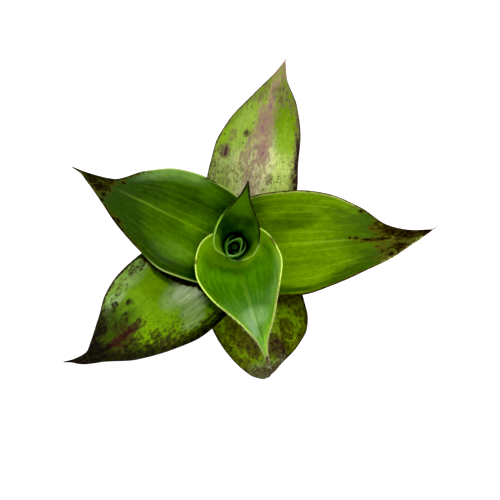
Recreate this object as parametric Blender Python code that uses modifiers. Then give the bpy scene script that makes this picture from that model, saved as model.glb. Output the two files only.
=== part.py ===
"""A young basket plant in a plain clay pot.

Seven open leaves, two rolled heart leaves and a bud stand in a spiral up one short stem. Each
leaf is a closed sheath round the stem that opens into a blade. The origin is the middle of the
pot's base, +Z is up, +X is to the right and +Y is to the top of a view from straight above.
"""
import math

import bmesh
import bpy
import numpy as np
from mathutils import Vector, noise

MM = 0.001
NAME = "potted_basket_plant"

# Pot, in mm
POT_HEIGHT = 58.0
POT_RIM_RADIUS = 32.0
POT_BAND_HEIGHT = 14.0
POT_BAND_STEP = 2.6
POT_BAND_TAPER = 0.6
POT_BAND_UNDERCUT = 0.3
POT_BASE_RADIUS = 21.0
POT_WALL = 3.6
POT_FLOOR = 5.0
POT_EDGE = 1.2
POT_STEPS = 40
DRAIN_HOLES = 3
DRAIN_SIDES = 16
DRAIN_RADIUS = 3.2
DRAIN_CIRCLE = 11.5
DRAIN_TURN = math.radians(30)

# Soil, in mm
SOIL_TOP = 50.0
SOIL_LUMP = 2.6
SOIL_LUMP_WIDTH = 9.0
SOIL_RINGS = 5
SOIL_STEPS = 32
HOLE_BOTTOM = 20.0

# Stem, in mm
STEM_WAIST = 0.5
STEM_RING = 1.0
STEM_RING_SLOPE = 0.8
STEM_FOOT = 1.5
STEM_STEPS = 16

# Leaves, in mm
CLEARANCE = 0.3
BLADE = 0.9
HEART_BLADE = 0.7
SHEATH_STRAIGHT = 2.0
SHEATH_HEIGHT = 4.5
SHEATH_FLARE = 0.35
BLADE_ROWS = [0, 0.03, 0.06, 0.09, 0.13, 0.18, 0.24, 0.31, 0.4, 0.5, 0.6, 0.7, 0.79, 0.87, 0.94, 1]
BLADE_COLUMNS = 12
HEART_ROWS = [0, 0.1, 0.2, 0.3, 0.42, 0.55, 0.68, 0.8, 0.9, 1]
HEART_COLUMNS = 10

# Half-angle, in degrees, that a cross-section curls through: 180 is a closed tube
OPEN_CURL = [(0, 180), (0.03, 180), (0.07, 140), (0.12, 100), (0.18, 68), (0.3, 43), (0.5, 26),
             (0.75, 20), (0.9, 20), (1, 30)]
SCOOP_CURL = [(0, 180), (0.045, 180), (0.11, 150), (0.19, 118), (0.28, 88), (0.42, 65), (0.6, 50),
              (0.8, 35), (1, 30)]
CUP_CURL = [(0, 180), (0.05, 180), (0.15, 172), (0.25, 152), (0.37, 122), (0.54, 88), (0.73, 60),
            (1, 40)]
HEART_CURL = [(0, 180), (0.2, 180), (0.42, 150), (0.65, 112), (0.85, 80), (1, 60)]
INNER_CURL = [(0, 180), (0.2, 180), (0.45, 130), (0.7, 90), (1, 60)]

# How far a cross-section leans square to the midrib: 0 is level, 1 is square
OPEN_LEAN = [(0, 0), (0.05, 0), (0.3, 1), (1, 1)]
HEART_LEAN = [(0, 0), (1, 0.4)]

NO_SPIRAL = [(0, 0), (1, 0)]
CUP_SPIRAL = [(0, 0), (0.05, 0), (0.16, -0.07), (0.35, -0.03), (0.5, 0), (1, 0)]


class Leaf:
    """One leaf, in mm: sheath radius, node height, midrib and half-widths.

    rib: points (out from the stem, sideways to the left, height) past the sheath.
    left, right: (share of the length, half-width along the curled section), past the sheath.
    """

    def __init__(self, azimuth, sheath, node, rib, left, right, curl=OPEN_CURL, lean=OPEN_LEAN,
                 spiral=NO_SPIRAL, blade=BLADE, rows=BLADE_ROWS, columns=BLADE_COLUMNS):
        self.azimuth = math.radians(azimuth)
        self.sheath = sheath
        self.node = node
        self.rib = [(sheath, 0, node), (sheath, 0, node + SHEATH_STRAIGHT),
                    (sheath + SHEATH_FLARE, 0, node + SHEATH_HEIGHT)] + rib
        closed = [(0, math.pi * sheath), (curl[1][0], math.pi * sheath)]
        self.left = closed + left
        self.right = closed + right
        self.curl = curl
        self.lean = lean
        self.spiral = spiral
        self.blade = blade
        self.rows = rows
        self.columns = columns

    def stem_radius(self):
        """Stem radius that clears the sheath's flat facets inside."""
        inner = (self.sheath - self.blade / 2) * math.cos(math.pi / self.columns)
        return inner - CLEARANCE


LEAVES = {
    "leaf_1_bottom": Leaf(
        azimuth=-76.2, sheath=5.9, node=57,
        rib=[(9, 0, 66), (20, 0, 73), (36, 0, 76), (50, 0, 73), (60, 0, 65), (64.5, 0, 55),
             (66, 0, 46)],
        left=[(0.12, 22), (0.24, 25.5), (0.38, 26.3), (0.52, 26.2), (0.62, 19), (0.76, 7.2),
              (0.88, 1.8), (1, 0.4)],
        right=[(0.12, 22), (0.24, 24), (0.38, 21.6), (0.52, 18.1), (0.62, 14.4), (0.76, 8.4),
               (0.88, 3.9), (1, 0.4)]),
    "leaf_2_top": Leaf(
        azimuth=74.9, sheath=5.7, node=63,
        rib=[(9, 0, 72), (24, -1, 81), (45, -1.5, 88), (65, -1, 94), (80, -0.5, 98),
             (86.7, 0, 100)],
        left=[(0.12, 21.5), (0.24, 23), (0.38, 23.8), (0.52, 23.6), (0.67, 19.5), (0.81, 11.3),
              (0.92, 4.8), (1, 0.4)],
        right=[(0.12, 21), (0.24, 22), (0.38, 21), (0.52, 17.4), (0.67, 14.7), (0.81, 9.8),
               (0.92, 2.7), (1, 0.4)]),
    "leaf_3_lower_left": Leaf(
        azimuth=213.7, sheath=5.5, node=69.3,
        rib=[(9.5, 0, 79), (26, 1, 87), (48, 3, 91), (68, 5, 89), (85, 4.4, 83), (97.2, 0.2, 76)],
        left=[(0.12, 22.5), (0.24, 25.8), (0.38, 25.3), (0.52, 21), (0.67, 13.6), (0.81, 5.4),
              (0.92, 2.2), (1, 0.4)],
        right=[(0.12, 22.5), (0.24, 25), (0.38, 24.4), (0.52, 23.3), (0.67, 15.2), (0.81, 5.6),
               (0.86, 2.3), (0.92, 1.1), (1, 0.4)]),
    "leaf_4_right": Leaf(
        azimuth=3.5, sheath=5.3, node=75.6,
        rib=[(9.5, 0, 85), (24, 0, 94), (44, 0, 101), (64, 0, 105), (78, 0.8, 105),
             (89, 2.2, 103)],
        left=[(0.12, 23.5), (0.22, 26.6), (0.37, 25.4), (0.52, 22.1), (0.67, 14.4), (0.79, 4.8),
              (0.9, 2.4), (1, 0.4)],
        right=[(0.12, 23), (0.22, 26.5), (0.37, 25.1), (0.52, 20.4), (0.67, 14.4), (0.79, 9.5),
               (0.9, 5), (1, 0.4)]),
    "leaf_5_left": Leaf(
        azimuth=153.8, sheath=5.1, node=81.9,
        rib=[(9.5, 0, 92), (22, 0, 102), (40, 0, 110), (58, 0, 115), (70, 0, 117),
             (79, 0, 118)],
        left=[(0.12, 23), (0.22, 25.5), (0.37, 25.2), (0.52, 20.9), (0.67, 14.9), (0.79, 8.9),
              (0.9, 3.3), (1, 0.4)],
        right=[(0.12, 22.5), (0.22, 24.4), (0.37, 23.7), (0.52, 20.9), (0.67, 12.8), (0.79, 3.5),
               (0.9, 1.2), (1, 0.4)]),
    "leaf_6_front": Leaf(
        azimuth=-73.7, sheath=4.9, node=88.2,
        rib=[(8, 0, 98), (16, 0, 109), (28, 0, 118), (40, 0, 123), (48, 0, 122), (53, 0, 119)],
        left=[(0.14, 21.3), (0.25, 24.7), (0.38, 23.5), (0.52, 17.8), (0.71, 9.2), (0.87, 2.6),
              (1, 0.4)],
        right=[(0.14, 22.6), (0.25, 27.1), (0.38, 25.8), (0.52, 18.8), (0.62, 11.8), (0.71, 6.8),
               (0.87, 1.7), (1, 0.4)],
        curl=SCOOP_CURL),
    "leaf_7_upright": Leaf(
        azimuth=76.9, sheath=4.6, node=94.5,
        rib=[(7.5, 0, 106), (13, 0, 121), (19.5, 0, 137), (24.5, 0, 148), (27.7, 0, 155)],
        left=[(0.2, 20.2), (0.35, 21.5), (0.54, 16.5), (0.73, 6.2), (0.83, 2.4), (0.91, 0.9),
              (1, 0.4)],
        right=[(0.2, 21.3), (0.35, 21.4), (0.54, 13.9), (0.73, 5.1), (0.83, 2.4), (0.91, 0.9),
               (1, 0.4)],
        curl=CUP_CURL, spiral=CUP_SPIRAL),
    "leaf_8_heart": Leaf(
        azimuth=239, sheath=3.5, node=99.5,
        rib=[(3.9, 0, 107), (4.1, 0, 111), (4.4, 0, 115), (4.3, 0, 118.5)],
        left=[(0.42, 11.4), (0.62, 8.6), (0.8, 4.4), (1, 0.4)],
        right=[(0.42, 11.8), (0.62, 9.4), (0.8, 4.8), (1, 0.4)],
        curl=HEART_CURL, lean=HEART_LEAN, blade=HEART_BLADE, rows=HEART_ROWS,
        columns=HEART_COLUMNS),
    "leaf_9_heart": Leaf(
        azimuth=50, sheath=2.4, node=105.3,
        rib=[(3.3, 0, 112.5), (4.0, 0, 115), (4.8, 0, 117)],
        left=[(0.45, 7.4), (0.65, 5), (0.85, 2), (1, 0.4)],
        right=[(0.45, 7.2), (0.65, 4.6), (0.85, 1.8), (1, 0.4)],
        curl=INNER_CURL, lean=HEART_LEAN, blade=HEART_BLADE, rows=HEART_ROWS,
        columns=HEART_COLUMNS),
}

# Bud, in mm
BUD_BASE = 110.4
BUD_HEIGHT = 6.2
BUD_RADIUS = 1.1
BUD_POINTS = 7
BUD_LOW_BELLY = 1.4
BUD_FULLNESS = 0.6

COLOURS = {
    "pot": "#B4693F",
    "soil": "#2E2118",
    "stem": "#7F9A3C",
    "leaf_1_bottom": "#4F6A08",
    "leaf_2_top": "#97C43F",
    "leaf_3_lower_left": "#6F9A10",
    "leaf_4_right": "#5C9E12",
    "leaf_5_left": "#2C6A0C",
    "leaf_6_front": "#4FA018",
    "leaf_7_upright": "#1F4A0A",
    "leaf_8_heart": "#3F7416",
    "leaf_9_heart": "#3F7416",
    "leaf_10_bud": "#5C8A2A",
}
ROUGHNESS = {"pot": 0.85, "soil": 0.95}
LEAF_ROUGHNESS = 0.42


def linear(hex_colour):
    """Linear red, green, blue and alpha of an sRGB hex colour."""
    channels = [int(hex_colour[i:i + 2], 16) / 255 for i in (1, 3, 5)]
    return [c / 12.92 if c <= 0.04045 else ((c + 0.055) / 1.055) ** 2.4 for c in channels] + [1]


def finish(name):
    """Material of one piece."""
    material = bpy.data.materials.new(name)
    material.use_nodes = True
    shader = material.node_tree.nodes["Principled BSDF"]
    shader.inputs["Base Color"].default_value = linear(COLOURS[name])
    shader.inputs["Roughness"].default_value = ROUGHNESS.get(name, LEAF_ROUGHNESS)
    shader.inputs["Metallic"].default_value = 0
    return material


def add_piece(name, mesh, collection):
    """Object of one piece, shaded smooth, with its own material."""
    piece = bpy.data.objects.new(name, mesh)
    mesh.materials.append(finish(name))
    mesh.shade_smooth()
    collection.objects.link(piece)
    return piece


def turned(name, profile, steps, collection):
    """Piece turned about Z from (radius, height) points in mm that run down the outside."""
    mesh = bpy.data.meshes.new(name)
    points = [(radius * MM, 0, height * MM) for radius, height in profile]
    mesh.from_pydata(points, [(i, i + 1) for i in range(len(points) - 1)], [])
    piece = add_piece(name, mesh, collection)
    screw = piece.modifiers.new("Turn", "SCREW")
    screw.axis = "Z"
    screw.steps = steps
    screw.render_steps = steps
    screw.use_merge_vertices = True
    screw.merge_threshold = 0.00001
    screw.use_smooth_shade = True
    return piece


def evaluated(piece):
    """Mesh of a piece with its modifiers worked in."""
    bpy.context.view_layer.update()
    graph = bpy.context.evaluated_depsgraph_get()
    return bpy.data.meshes.new_from_object(piece.evaluated_get(graph))


def smooth_value(stations, t):
    """Value at each t of a smooth line through (t, value) stations, with no overshoot."""
    x, y = np.array(stations, float).T
    step = np.diff(x)
    slope = np.diff(y) / step
    tangent = np.zeros_like(y)
    tangent[0] = slope[0]
    tangent[-1] = slope[-1]
    for i in range(1, len(x) - 1):
        if slope[i - 1] * slope[i] > 0:
            before = 2 * step[i] + step[i - 1]
            after = step[i] + 2 * step[i - 1]
            tangent[i] = (before + after) / (before / slope[i - 1] + after / slope[i])
    i = np.clip(np.searchsorted(x, t, side="right") - 1, 0, len(x) - 2)
    u = (t - x[i]) / step[i]
    return hermite(u, y[i], y[i + 1], tangent[i] * step[i], tangent[i + 1] * step[i])


def hermite(u, start, end, leave, arrive):
    """Cubic from start to end with the given end tangents, at u from 0 to 1."""
    return ((2 * u**3 - 3 * u**2 + 1) * start + (u**3 - 2 * u**2 + u) * leave
            + (3 * u**2 - 2 * u**3) * end + (u**3 - u**2) * arrive)


def hermite_slope(u, start, end, leave, arrive):
    """Rate of change of the same cubic."""
    return ((6 * u**2 - 6 * u) * (start - end) + (3 * u**2 - 4 * u + 1) * leave
            + (3 * u**2 - 2 * u) * arrive)


def midrib(points, t):
    """Points and directions at shares t of a smooth curve through the midrib's points."""
    p = np.array(points, float)
    along = np.concatenate([[0], np.cumsum(np.linalg.norm(np.diff(p, axis=0), axis=1))])
    tangent = np.zeros_like(p)
    tangent[1:-1] = (p[2:] - p[:-2]) / (along[2:] - along[:-2])[:, None]
    tangent[0] = 1.5 * (p[1] - p[0]) / (along[1] - along[0]) - 0.5 * tangent[1]
    tangent[-1] = 1.5 * (p[-1] - p[-2]) / (along[-1] - along[-2]) - 0.5 * tangent[-2]
    distance = t * along[-1]
    i = np.clip(np.searchsorted(along, distance, side="right") - 1, 0, len(along) - 2)
    span = (along[i + 1] - along[i])[:, None]
    u = (distance - along[i])[:, None] / span
    ends = (p[i], p[i + 1], tangent[i] * span, tangent[i + 1] * span)
    slope = hermite_slope(u, *ends)
    return hermite(u, *ends), slope / np.linalg.norm(slope, axis=1, keepdims=True)


def leaf_surface(leaf, t, s):
    """Points of a leaf's middle surface in mm, at shares t of its length and s across, -1 to 1."""
    out = np.array([math.cos(leaf.azimuth), math.sin(leaf.azimuth), 0])
    aside = np.array([-math.sin(leaf.azimuth), math.cos(leaf.azimuth), 0])
    up = np.array([0, 0, 1.0])
    rib, direction = midrib(leaf.rib, t)
    rib = rib @ np.stack([out, aside, up])
    direction = direction @ np.stack([out, aside, up])
    across = aside - (direction @ aside)[:, None] * direction
    across /= np.linalg.norm(across, axis=1, keepdims=True)
    normal = np.cross(direction, across)
    lean = np.arctan2(normal[:, 2], -(normal @ out)) * smooth_value(leaf.lean, t)
    inward = np.sin(lean)[:, None] * up - np.cos(lean)[:, None] * out
    left = smooth_value(leaf.left, t)[:, None]
    right = smooth_value(leaf.right, t)[:, None]
    radius = (left + right) / 2 / np.radians(smooth_value(leaf.curl, t))[:, None]
    angle = np.where(s > 0, left, right) * s / radius
    swept = radius * (1 + smooth_value(leaf.spiral, t)[:, None] * s)
    sideways = swept * np.sin(angle)
    lift = radius - swept * np.cos(angle)
    return rib[:, None] + sideways[..., None] * across[:, None] + lift[..., None] * inward[:, None]


def make_leaf(name, leaf, collection):
    """Leaf with a closed sheath, an open blade and one thickness."""
    rows = np.array(leaf.rows, float)
    across = np.linspace(-1, 1, leaf.columns + 1)
    points = leaf_surface(leaf, rows, across) * MM
    form = bmesh.new()
    bmesh.ops.create_grid(form, x_segments=len(rows) - 1, y_segments=leaf.columns, size=1)
    for vert in form.verts:
        row = round((vert.co.x + 1) / 2 * (len(rows) - 1))
        column = round((vert.co.y + 1) / 2 * leaf.columns)
        vert.co = Vector(points[row, column])
    bmesh.ops.remove_doubles(form, verts=form.verts, dist=0.02 * MM)
    bmesh.ops.triangulate(form, faces=form.faces)
    mesh = bpy.data.meshes.new(name)
    form.to_mesh(mesh)
    form.free()
    piece = add_piece(name, mesh, collection)
    thickness = piece.modifiers.new("Blade", "SOLIDIFY")
    thickness.thickness = leaf.blade * MM
    thickness.offset = 0
    return piece


def make_bud(collection):
    """Innermost leaf, still a tight pointed roll on the stem's end."""
    profile = [(0, BUD_BASE + BUD_HEIGHT)]
    for i in range(1, BUD_POINTS - 1):
        share = i / (BUD_POINTS - 1)
        width = math.sin(math.pi * share ** BUD_LOW_BELLY) ** BUD_FULLNESS
        profile.append((BUD_RADIUS * width, BUD_BASE + BUD_HEIGHT * (1 - share)))
    profile.append((0, BUD_BASE))
    return turned("leaf_10_bud", profile, HEART_COLUMNS, collection)


def pot_bore(height):
    """Inner radius of the pot at a height."""
    rim = POT_RIM_RADIUS - POT_BAND_STEP - POT_WALL
    base = POT_BASE_RADIUS - POT_WALL
    return base + (rim - base) * (height - POT_FLOOR) / (POT_HEIGHT - POT_FLOOR)


def make_pot(collection, cutters):
    """Thrown clay pot: a rim band, a tapered wall and a floor with drain holes."""
    band_foot = POT_HEIGHT - POT_BAND_HEIGHT
    wall_top = POT_RIM_RADIUS - POT_BAND_STEP
    profile = [
        (pot_bore(POT_HEIGHT) + POT_EDGE, POT_HEIGHT),
        (POT_RIM_RADIUS - POT_EDGE, POT_HEIGHT),
        (POT_RIM_RADIUS, POT_HEIGHT - POT_EDGE),
        (POT_RIM_RADIUS - POT_BAND_TAPER, band_foot + POT_EDGE),
        (POT_RIM_RADIUS - POT_BAND_TAPER - POT_EDGE, band_foot),
        (wall_top - POT_BAND_TAPER, band_foot - POT_BAND_UNDERCUT),
        (POT_BASE_RADIUS, POT_EDGE),
        (POT_BASE_RADIUS - POT_EDGE, 0),
        (0, 0),
        (0, POT_FLOOR),
        (pot_bore(POT_FLOOR) - POT_EDGE, POT_FLOOR),
        (pot_bore(POT_FLOOR + POT_EDGE), POT_FLOOR + POT_EDGE),
        (pot_bore(POT_HEIGHT - POT_EDGE), POT_HEIGHT - POT_EDGE),
    ]
    # The outline runs round the wall and is closed where it starts
    profile.append(profile[0])
    pot = turned("pot", profile, POT_STEPS, collection)
    for i in range(DRAIN_HOLES):
        angle = 2 * math.pi * i / DRAIN_HOLES + DRAIN_TURN
        place = (DRAIN_CIRCLE * MM * math.cos(angle), DRAIN_CIRCLE * MM * math.sin(angle),
                 POT_FLOOR / 2 * MM)
        bpy.ops.mesh.primitive_cylinder_add(vertices=DRAIN_SIDES, radius=DRAIN_RADIUS * MM,
                                            depth=POT_FLOOR * 2 * MM, location=place)
        cutter = bpy.context.object
        cutter.name = f"drain_cutter_{i + 1}"
        cutter.display_type = "WIRE"
        cutter.hide_render = True
        cutter.users_collection[0].objects.unlink(cutter)
        cutters.objects.link(cutter)
        cut = pot.modifiers.new(f"Drain_{i + 1}", "BOOLEAN")
        cut.operation = "DIFFERENCE"
        cut.solver = "EXACT"
        cut.object = cutter
    return pot


def make_soil(collection, hole_radius):
    """Soil that fills the pot, lumpy on top, with a plain hole for the stem."""
    foot = POT_FLOOR + CLEARANCE
    edge_top = pot_bore(SOIL_TOP) - CLEARANCE
    edge_foot = pot_bore(foot + POT_EDGE) - CLEARANCE
    profile = []
    for i in range(SOIL_RINGS + 1):
        share = i / SOIL_RINGS
        profile.append((hole_radius + (edge_top - hole_radius) * share, SOIL_TOP))
    profile += [(edge_foot, foot + POT_EDGE), (edge_foot - POT_EDGE, foot), (0, foot),
                (0, HOLE_BOTTOM), (hole_radius, HOLE_BOTTOM), profile[0]]
    soil = turned("soil", profile, SOIL_STEPS, collection)
    mesh = evaluated(soil)
    for vert in mesh.vertices:
        if vert.co.z > (SOIL_TOP - CLEARANCE) * MM:
            place = vert.co / (SOIL_LUMP_WIDTH * MM)
            vert.co.z += noise.noise(place) * SOIL_LUMP * MM
    soil.modifiers.clear()
    soil.data = mesh
    return soil


def make_stem(collection):
    """Short stem with a ring at every node, thinner at each younger leaf."""
    bottom = HOLE_BOTTOM + CLEARANCE
    waist = LEAVES["leaf_1_bottom"].stem_radius() - STEM_WAIST
    profile = [(0, bottom), (waist - STEM_WAIST, bottom), (waist, bottom + STEM_FOOT)]
    for leaf in LEAVES.values():
        ring = leaf.stem_radius()
        waist = ring - STEM_WAIST
        profile.append((waist, leaf.node - STEM_RING_SLOPE))
        profile.append((ring, leaf.node))
        profile.append((ring, leaf.node + STEM_RING))
        profile.append((waist, leaf.node + STEM_RING + STEM_RING_SLOPE))
    tip = BUD_BASE - CLEARANCE
    profile.append((waist, tip))
    profile.append((0, tip))
    profile.reverse()
    return turned("stem", profile, STEM_STEPS, collection)


def clear_scene():
    """Remove what the new file holds."""
    for item in list(bpy.data.objects):
        bpy.data.objects.remove(item, do_unlink=True)


def main():
    clear_scene()
    plant = bpy.data.collections.new(NAME)
    cutters = bpy.data.collections.new("cutters")
    bpy.context.scene.collection.children.link(plant)
    bpy.context.scene.collection.children.link(cutters)
    make_pot(plant, cutters)
    make_soil(plant, LEAVES["leaf_1_bottom"].stem_radius() - STEM_WAIST + CLEARANCE)
    make_stem(plant)
    for name, leaf in LEAVES.items():
        make_leaf(name, leaf, plant)
    make_bud(plant)


main()
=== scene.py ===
"""Looks of a young basket plant in a plain clay pot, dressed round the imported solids.

Leaf formulas work in mm and turn into metres where a mesh is made. On each leaf t is the share of
its length from the foot of the sheath, and s the share across it: 0 at the midrib, 1 at the left
margin and -1 at the right one, for someone who looks out along the leaf from the stem.
"""

import math
from dataclasses import dataclass

import bmesh
import bpy
import numpy as np
from mathutils import Euler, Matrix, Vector, noise


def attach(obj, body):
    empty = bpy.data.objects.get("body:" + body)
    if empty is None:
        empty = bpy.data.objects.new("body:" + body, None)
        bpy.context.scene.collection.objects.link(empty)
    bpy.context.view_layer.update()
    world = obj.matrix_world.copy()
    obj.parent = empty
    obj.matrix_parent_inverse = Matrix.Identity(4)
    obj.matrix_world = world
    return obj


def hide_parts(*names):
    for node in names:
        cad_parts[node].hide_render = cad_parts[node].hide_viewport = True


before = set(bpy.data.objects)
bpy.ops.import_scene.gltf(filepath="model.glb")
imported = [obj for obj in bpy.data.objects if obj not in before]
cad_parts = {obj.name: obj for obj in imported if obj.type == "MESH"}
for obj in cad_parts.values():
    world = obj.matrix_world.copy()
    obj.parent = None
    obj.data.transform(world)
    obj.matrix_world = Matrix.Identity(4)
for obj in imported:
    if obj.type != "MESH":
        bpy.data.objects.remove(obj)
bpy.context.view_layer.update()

MM = 0.001

# Camera straight above the plant, in metres, with its lens and sensor in mm
CAMERA_PLACE = (0.0069, -0.0014, 0.690)
CAMERA_LENS = 93.9
CAMERA_SENSOR = 36.0

# Level that prints as black, as in a crisp studio print
BLACK = 0.009

# Name, place in metres, side in metres and watts of each lamp, and the point they aim at
LAMPS = [("key", (0.16, 0.37, 0.66), 0.20, 2.4), ("fill", (-0.25, -0.50, 0.40), 0.34, 0.4),
         ("top", (-0.02, -0.36, 0.85), 0.10, 1.3)]
LAMP_TARGET = (0, 0, 0.09)
FLOOR_HALF = 1.5

# Pot, in mm and radians
POT_HEIGHT = 58.0
POT_RIM_RADIUS = 32.0
POT_BAND_HEIGHT = 14.0
POT_BAND_STEP = 2.6
POT_BAND_TAPER = 0.6
POT_BAND_UNDERCUT = 0.3
POT_BASE_RADIUS = 21.0
POT_WALL = 3.6
POT_FLOOR = 5.0
POT_EDGE = 1.2
POT_ROUNDING = 1.5
THROWING_LINES = 2.6
THROWING_DEPTH = 0.07
DRAIN_HOLES = 3
DRAIN_RADIUS = 3.2
DRAIN_CIRCLE = 11.5
DRAIN_TURN = math.radians(30)
DRAIN_SIDES = 48
POT_STEPS = 200
SHARP_EDGE = math.radians(50)

# Soil and stem, in mm
SOIL_TOP = 50.0
SOIL_LUMP = 2.6
SOIL_LUMP_WIDTH = 9.0
LUMP_CLEARANCE = 2.5
HOLE_BOTTOM = 20.0
STEM_WAIST = 0.5
STEM_RING = 1.0
STEM_RING_SLOPE = 0.8
STEM_FOOT = 1.5
STEM_ROUNDING = 0.3
SOIL_ROUNDING = 0.6
SOIL_STEPS = 220
STEM_STEPS = 110
CLEARANCE = 0.3

# Sides of a sheath in the solids, whose flats set how wide the stem's rings can be
CAD_COLUMNS = 12
CAD_HEART_COLUMNS = 10

# Leaves, in mm
BLADE = 0.9
HEART_BLADE = 0.7
SHEATH_STRAIGHT = 2.0
SHEATH_HEIGHT = 4.5
SHEATH_FLARE = 0.35

# Half-angle, in degrees, that a cross-section curls through: 180 is a closed tube, and past it the
# margins lap
OPEN_CURL = [(0, 180), (0.03, 180), (0.07, 140), (0.12, 100), (0.18, 68), (0.3, 43), (0.5, 26),
             (0.75, 20), (0.9, 20), (1, 30)]
SCOOP_CURL = [(0, 180), (0.045, 180), (0.11, 150), (0.19, 118), (0.28, 88), (0.42, 65), (0.6, 50),
              (0.8, 35), (1, 30)]
CUP_CURL = [(0, 180), (0.05, 180), (0.15, 184), (0.2, 172), (0.26, 152), (0.37, 122), (0.54, 88),
            (0.73, 60), (1, 40)]
HEART_CURL = [(0, 180), (0.2, 180), (0.42, 150), (0.65, 112), (0.85, 80), (1, 60)]
INNER_CURL = [(0, 180), (0.2, 180), (0.45, 130), (0.7, 90), (1, 60)]

# How far a cross-section leans square to the midrib: 0 is level, 1 is square
OPEN_LEAN = [(0, 0), (0.05, 0), (0.3, 1), (1, 1)]
HEART_LEAN = [(0, 0), (1, 0.4)]

NO_SPIRAL = [(0, 0), (1, 0)]
CUP_SPIRAL = [(0, 0), (0.05, 0), (0.16, -0.07), (0.35, -0.03), (0.5, 0), (1, 0)]

# Fine grid of a leaf: rows along it, and columns over each half and over a margin's round bead
SHEATH_ROWS = 8
BLADE_ROWS = 150
BLADE_COLUMNS = 40
HEART_ROWS = 60
HEART_COLUMNS = 22
BEAD_COLUMNS = 5

# Section of a leaf: bead and half-thickness in mm, each with its most as a share of the half-width,
# which holds where the leaf is narrow
BEAD = 0.34
BEAD_MOST = 0.45
THIN = 0.31
TIP_THIN = 0.55

# Relief of a leaf in mm, with its veins spaced over the half-width of a full-grown one
GROOVE = 0.3
GROOVE_WIDTH = 1.0
KEEL = 0.45
KEEL_WIDTH = 1.8
PLEAT = 0.012
VEIN_SPACING = 3.2
VEINED_WIDTH = 25
PUCKER = 0.22
PUCKER_SIZE = 16
MARGIN_WAVE = 0.35
MARGIN_WAVE_SIZE = 22

# Points closer than this are one, in mm
MERGE = 0.0005

# Points on each rounded corner of a turned outline
ARC_POINTS = 9


class Leaf:
    """One leaf, in mm: sheath radius, node height, midrib and half-widths.

    rib: points (out from the stem, sideways to the left, height) past the sheath.
    left, right: (share of the length, half-width along the curled section), past the sheath.
    """

    def __init__(self, azimuth, sheath, node, rib, left, right, curl=OPEN_CURL, lean=OPEN_LEAN,
                 spiral=NO_SPIRAL, blade=BLADE, rows=BLADE_ROWS, columns=BLADE_COLUMNS):
        self.azimuth = math.radians(azimuth)
        self.sheath = sheath
        self.node = node
        self.rib = [(sheath, 0, node), (sheath, 0, node + SHEATH_STRAIGHT),
                    (sheath + SHEATH_FLARE, 0, node + SHEATH_HEIGHT)] + rib
        closed = [(0, math.pi * sheath), (curl[1][0], math.pi * sheath)]
        self.left = closed + left
        self.right = closed + right
        self.curl = curl
        self.lean = lean
        self.spiral = spiral
        self.blade = blade
        self.rows = rows
        self.columns = columns


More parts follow.
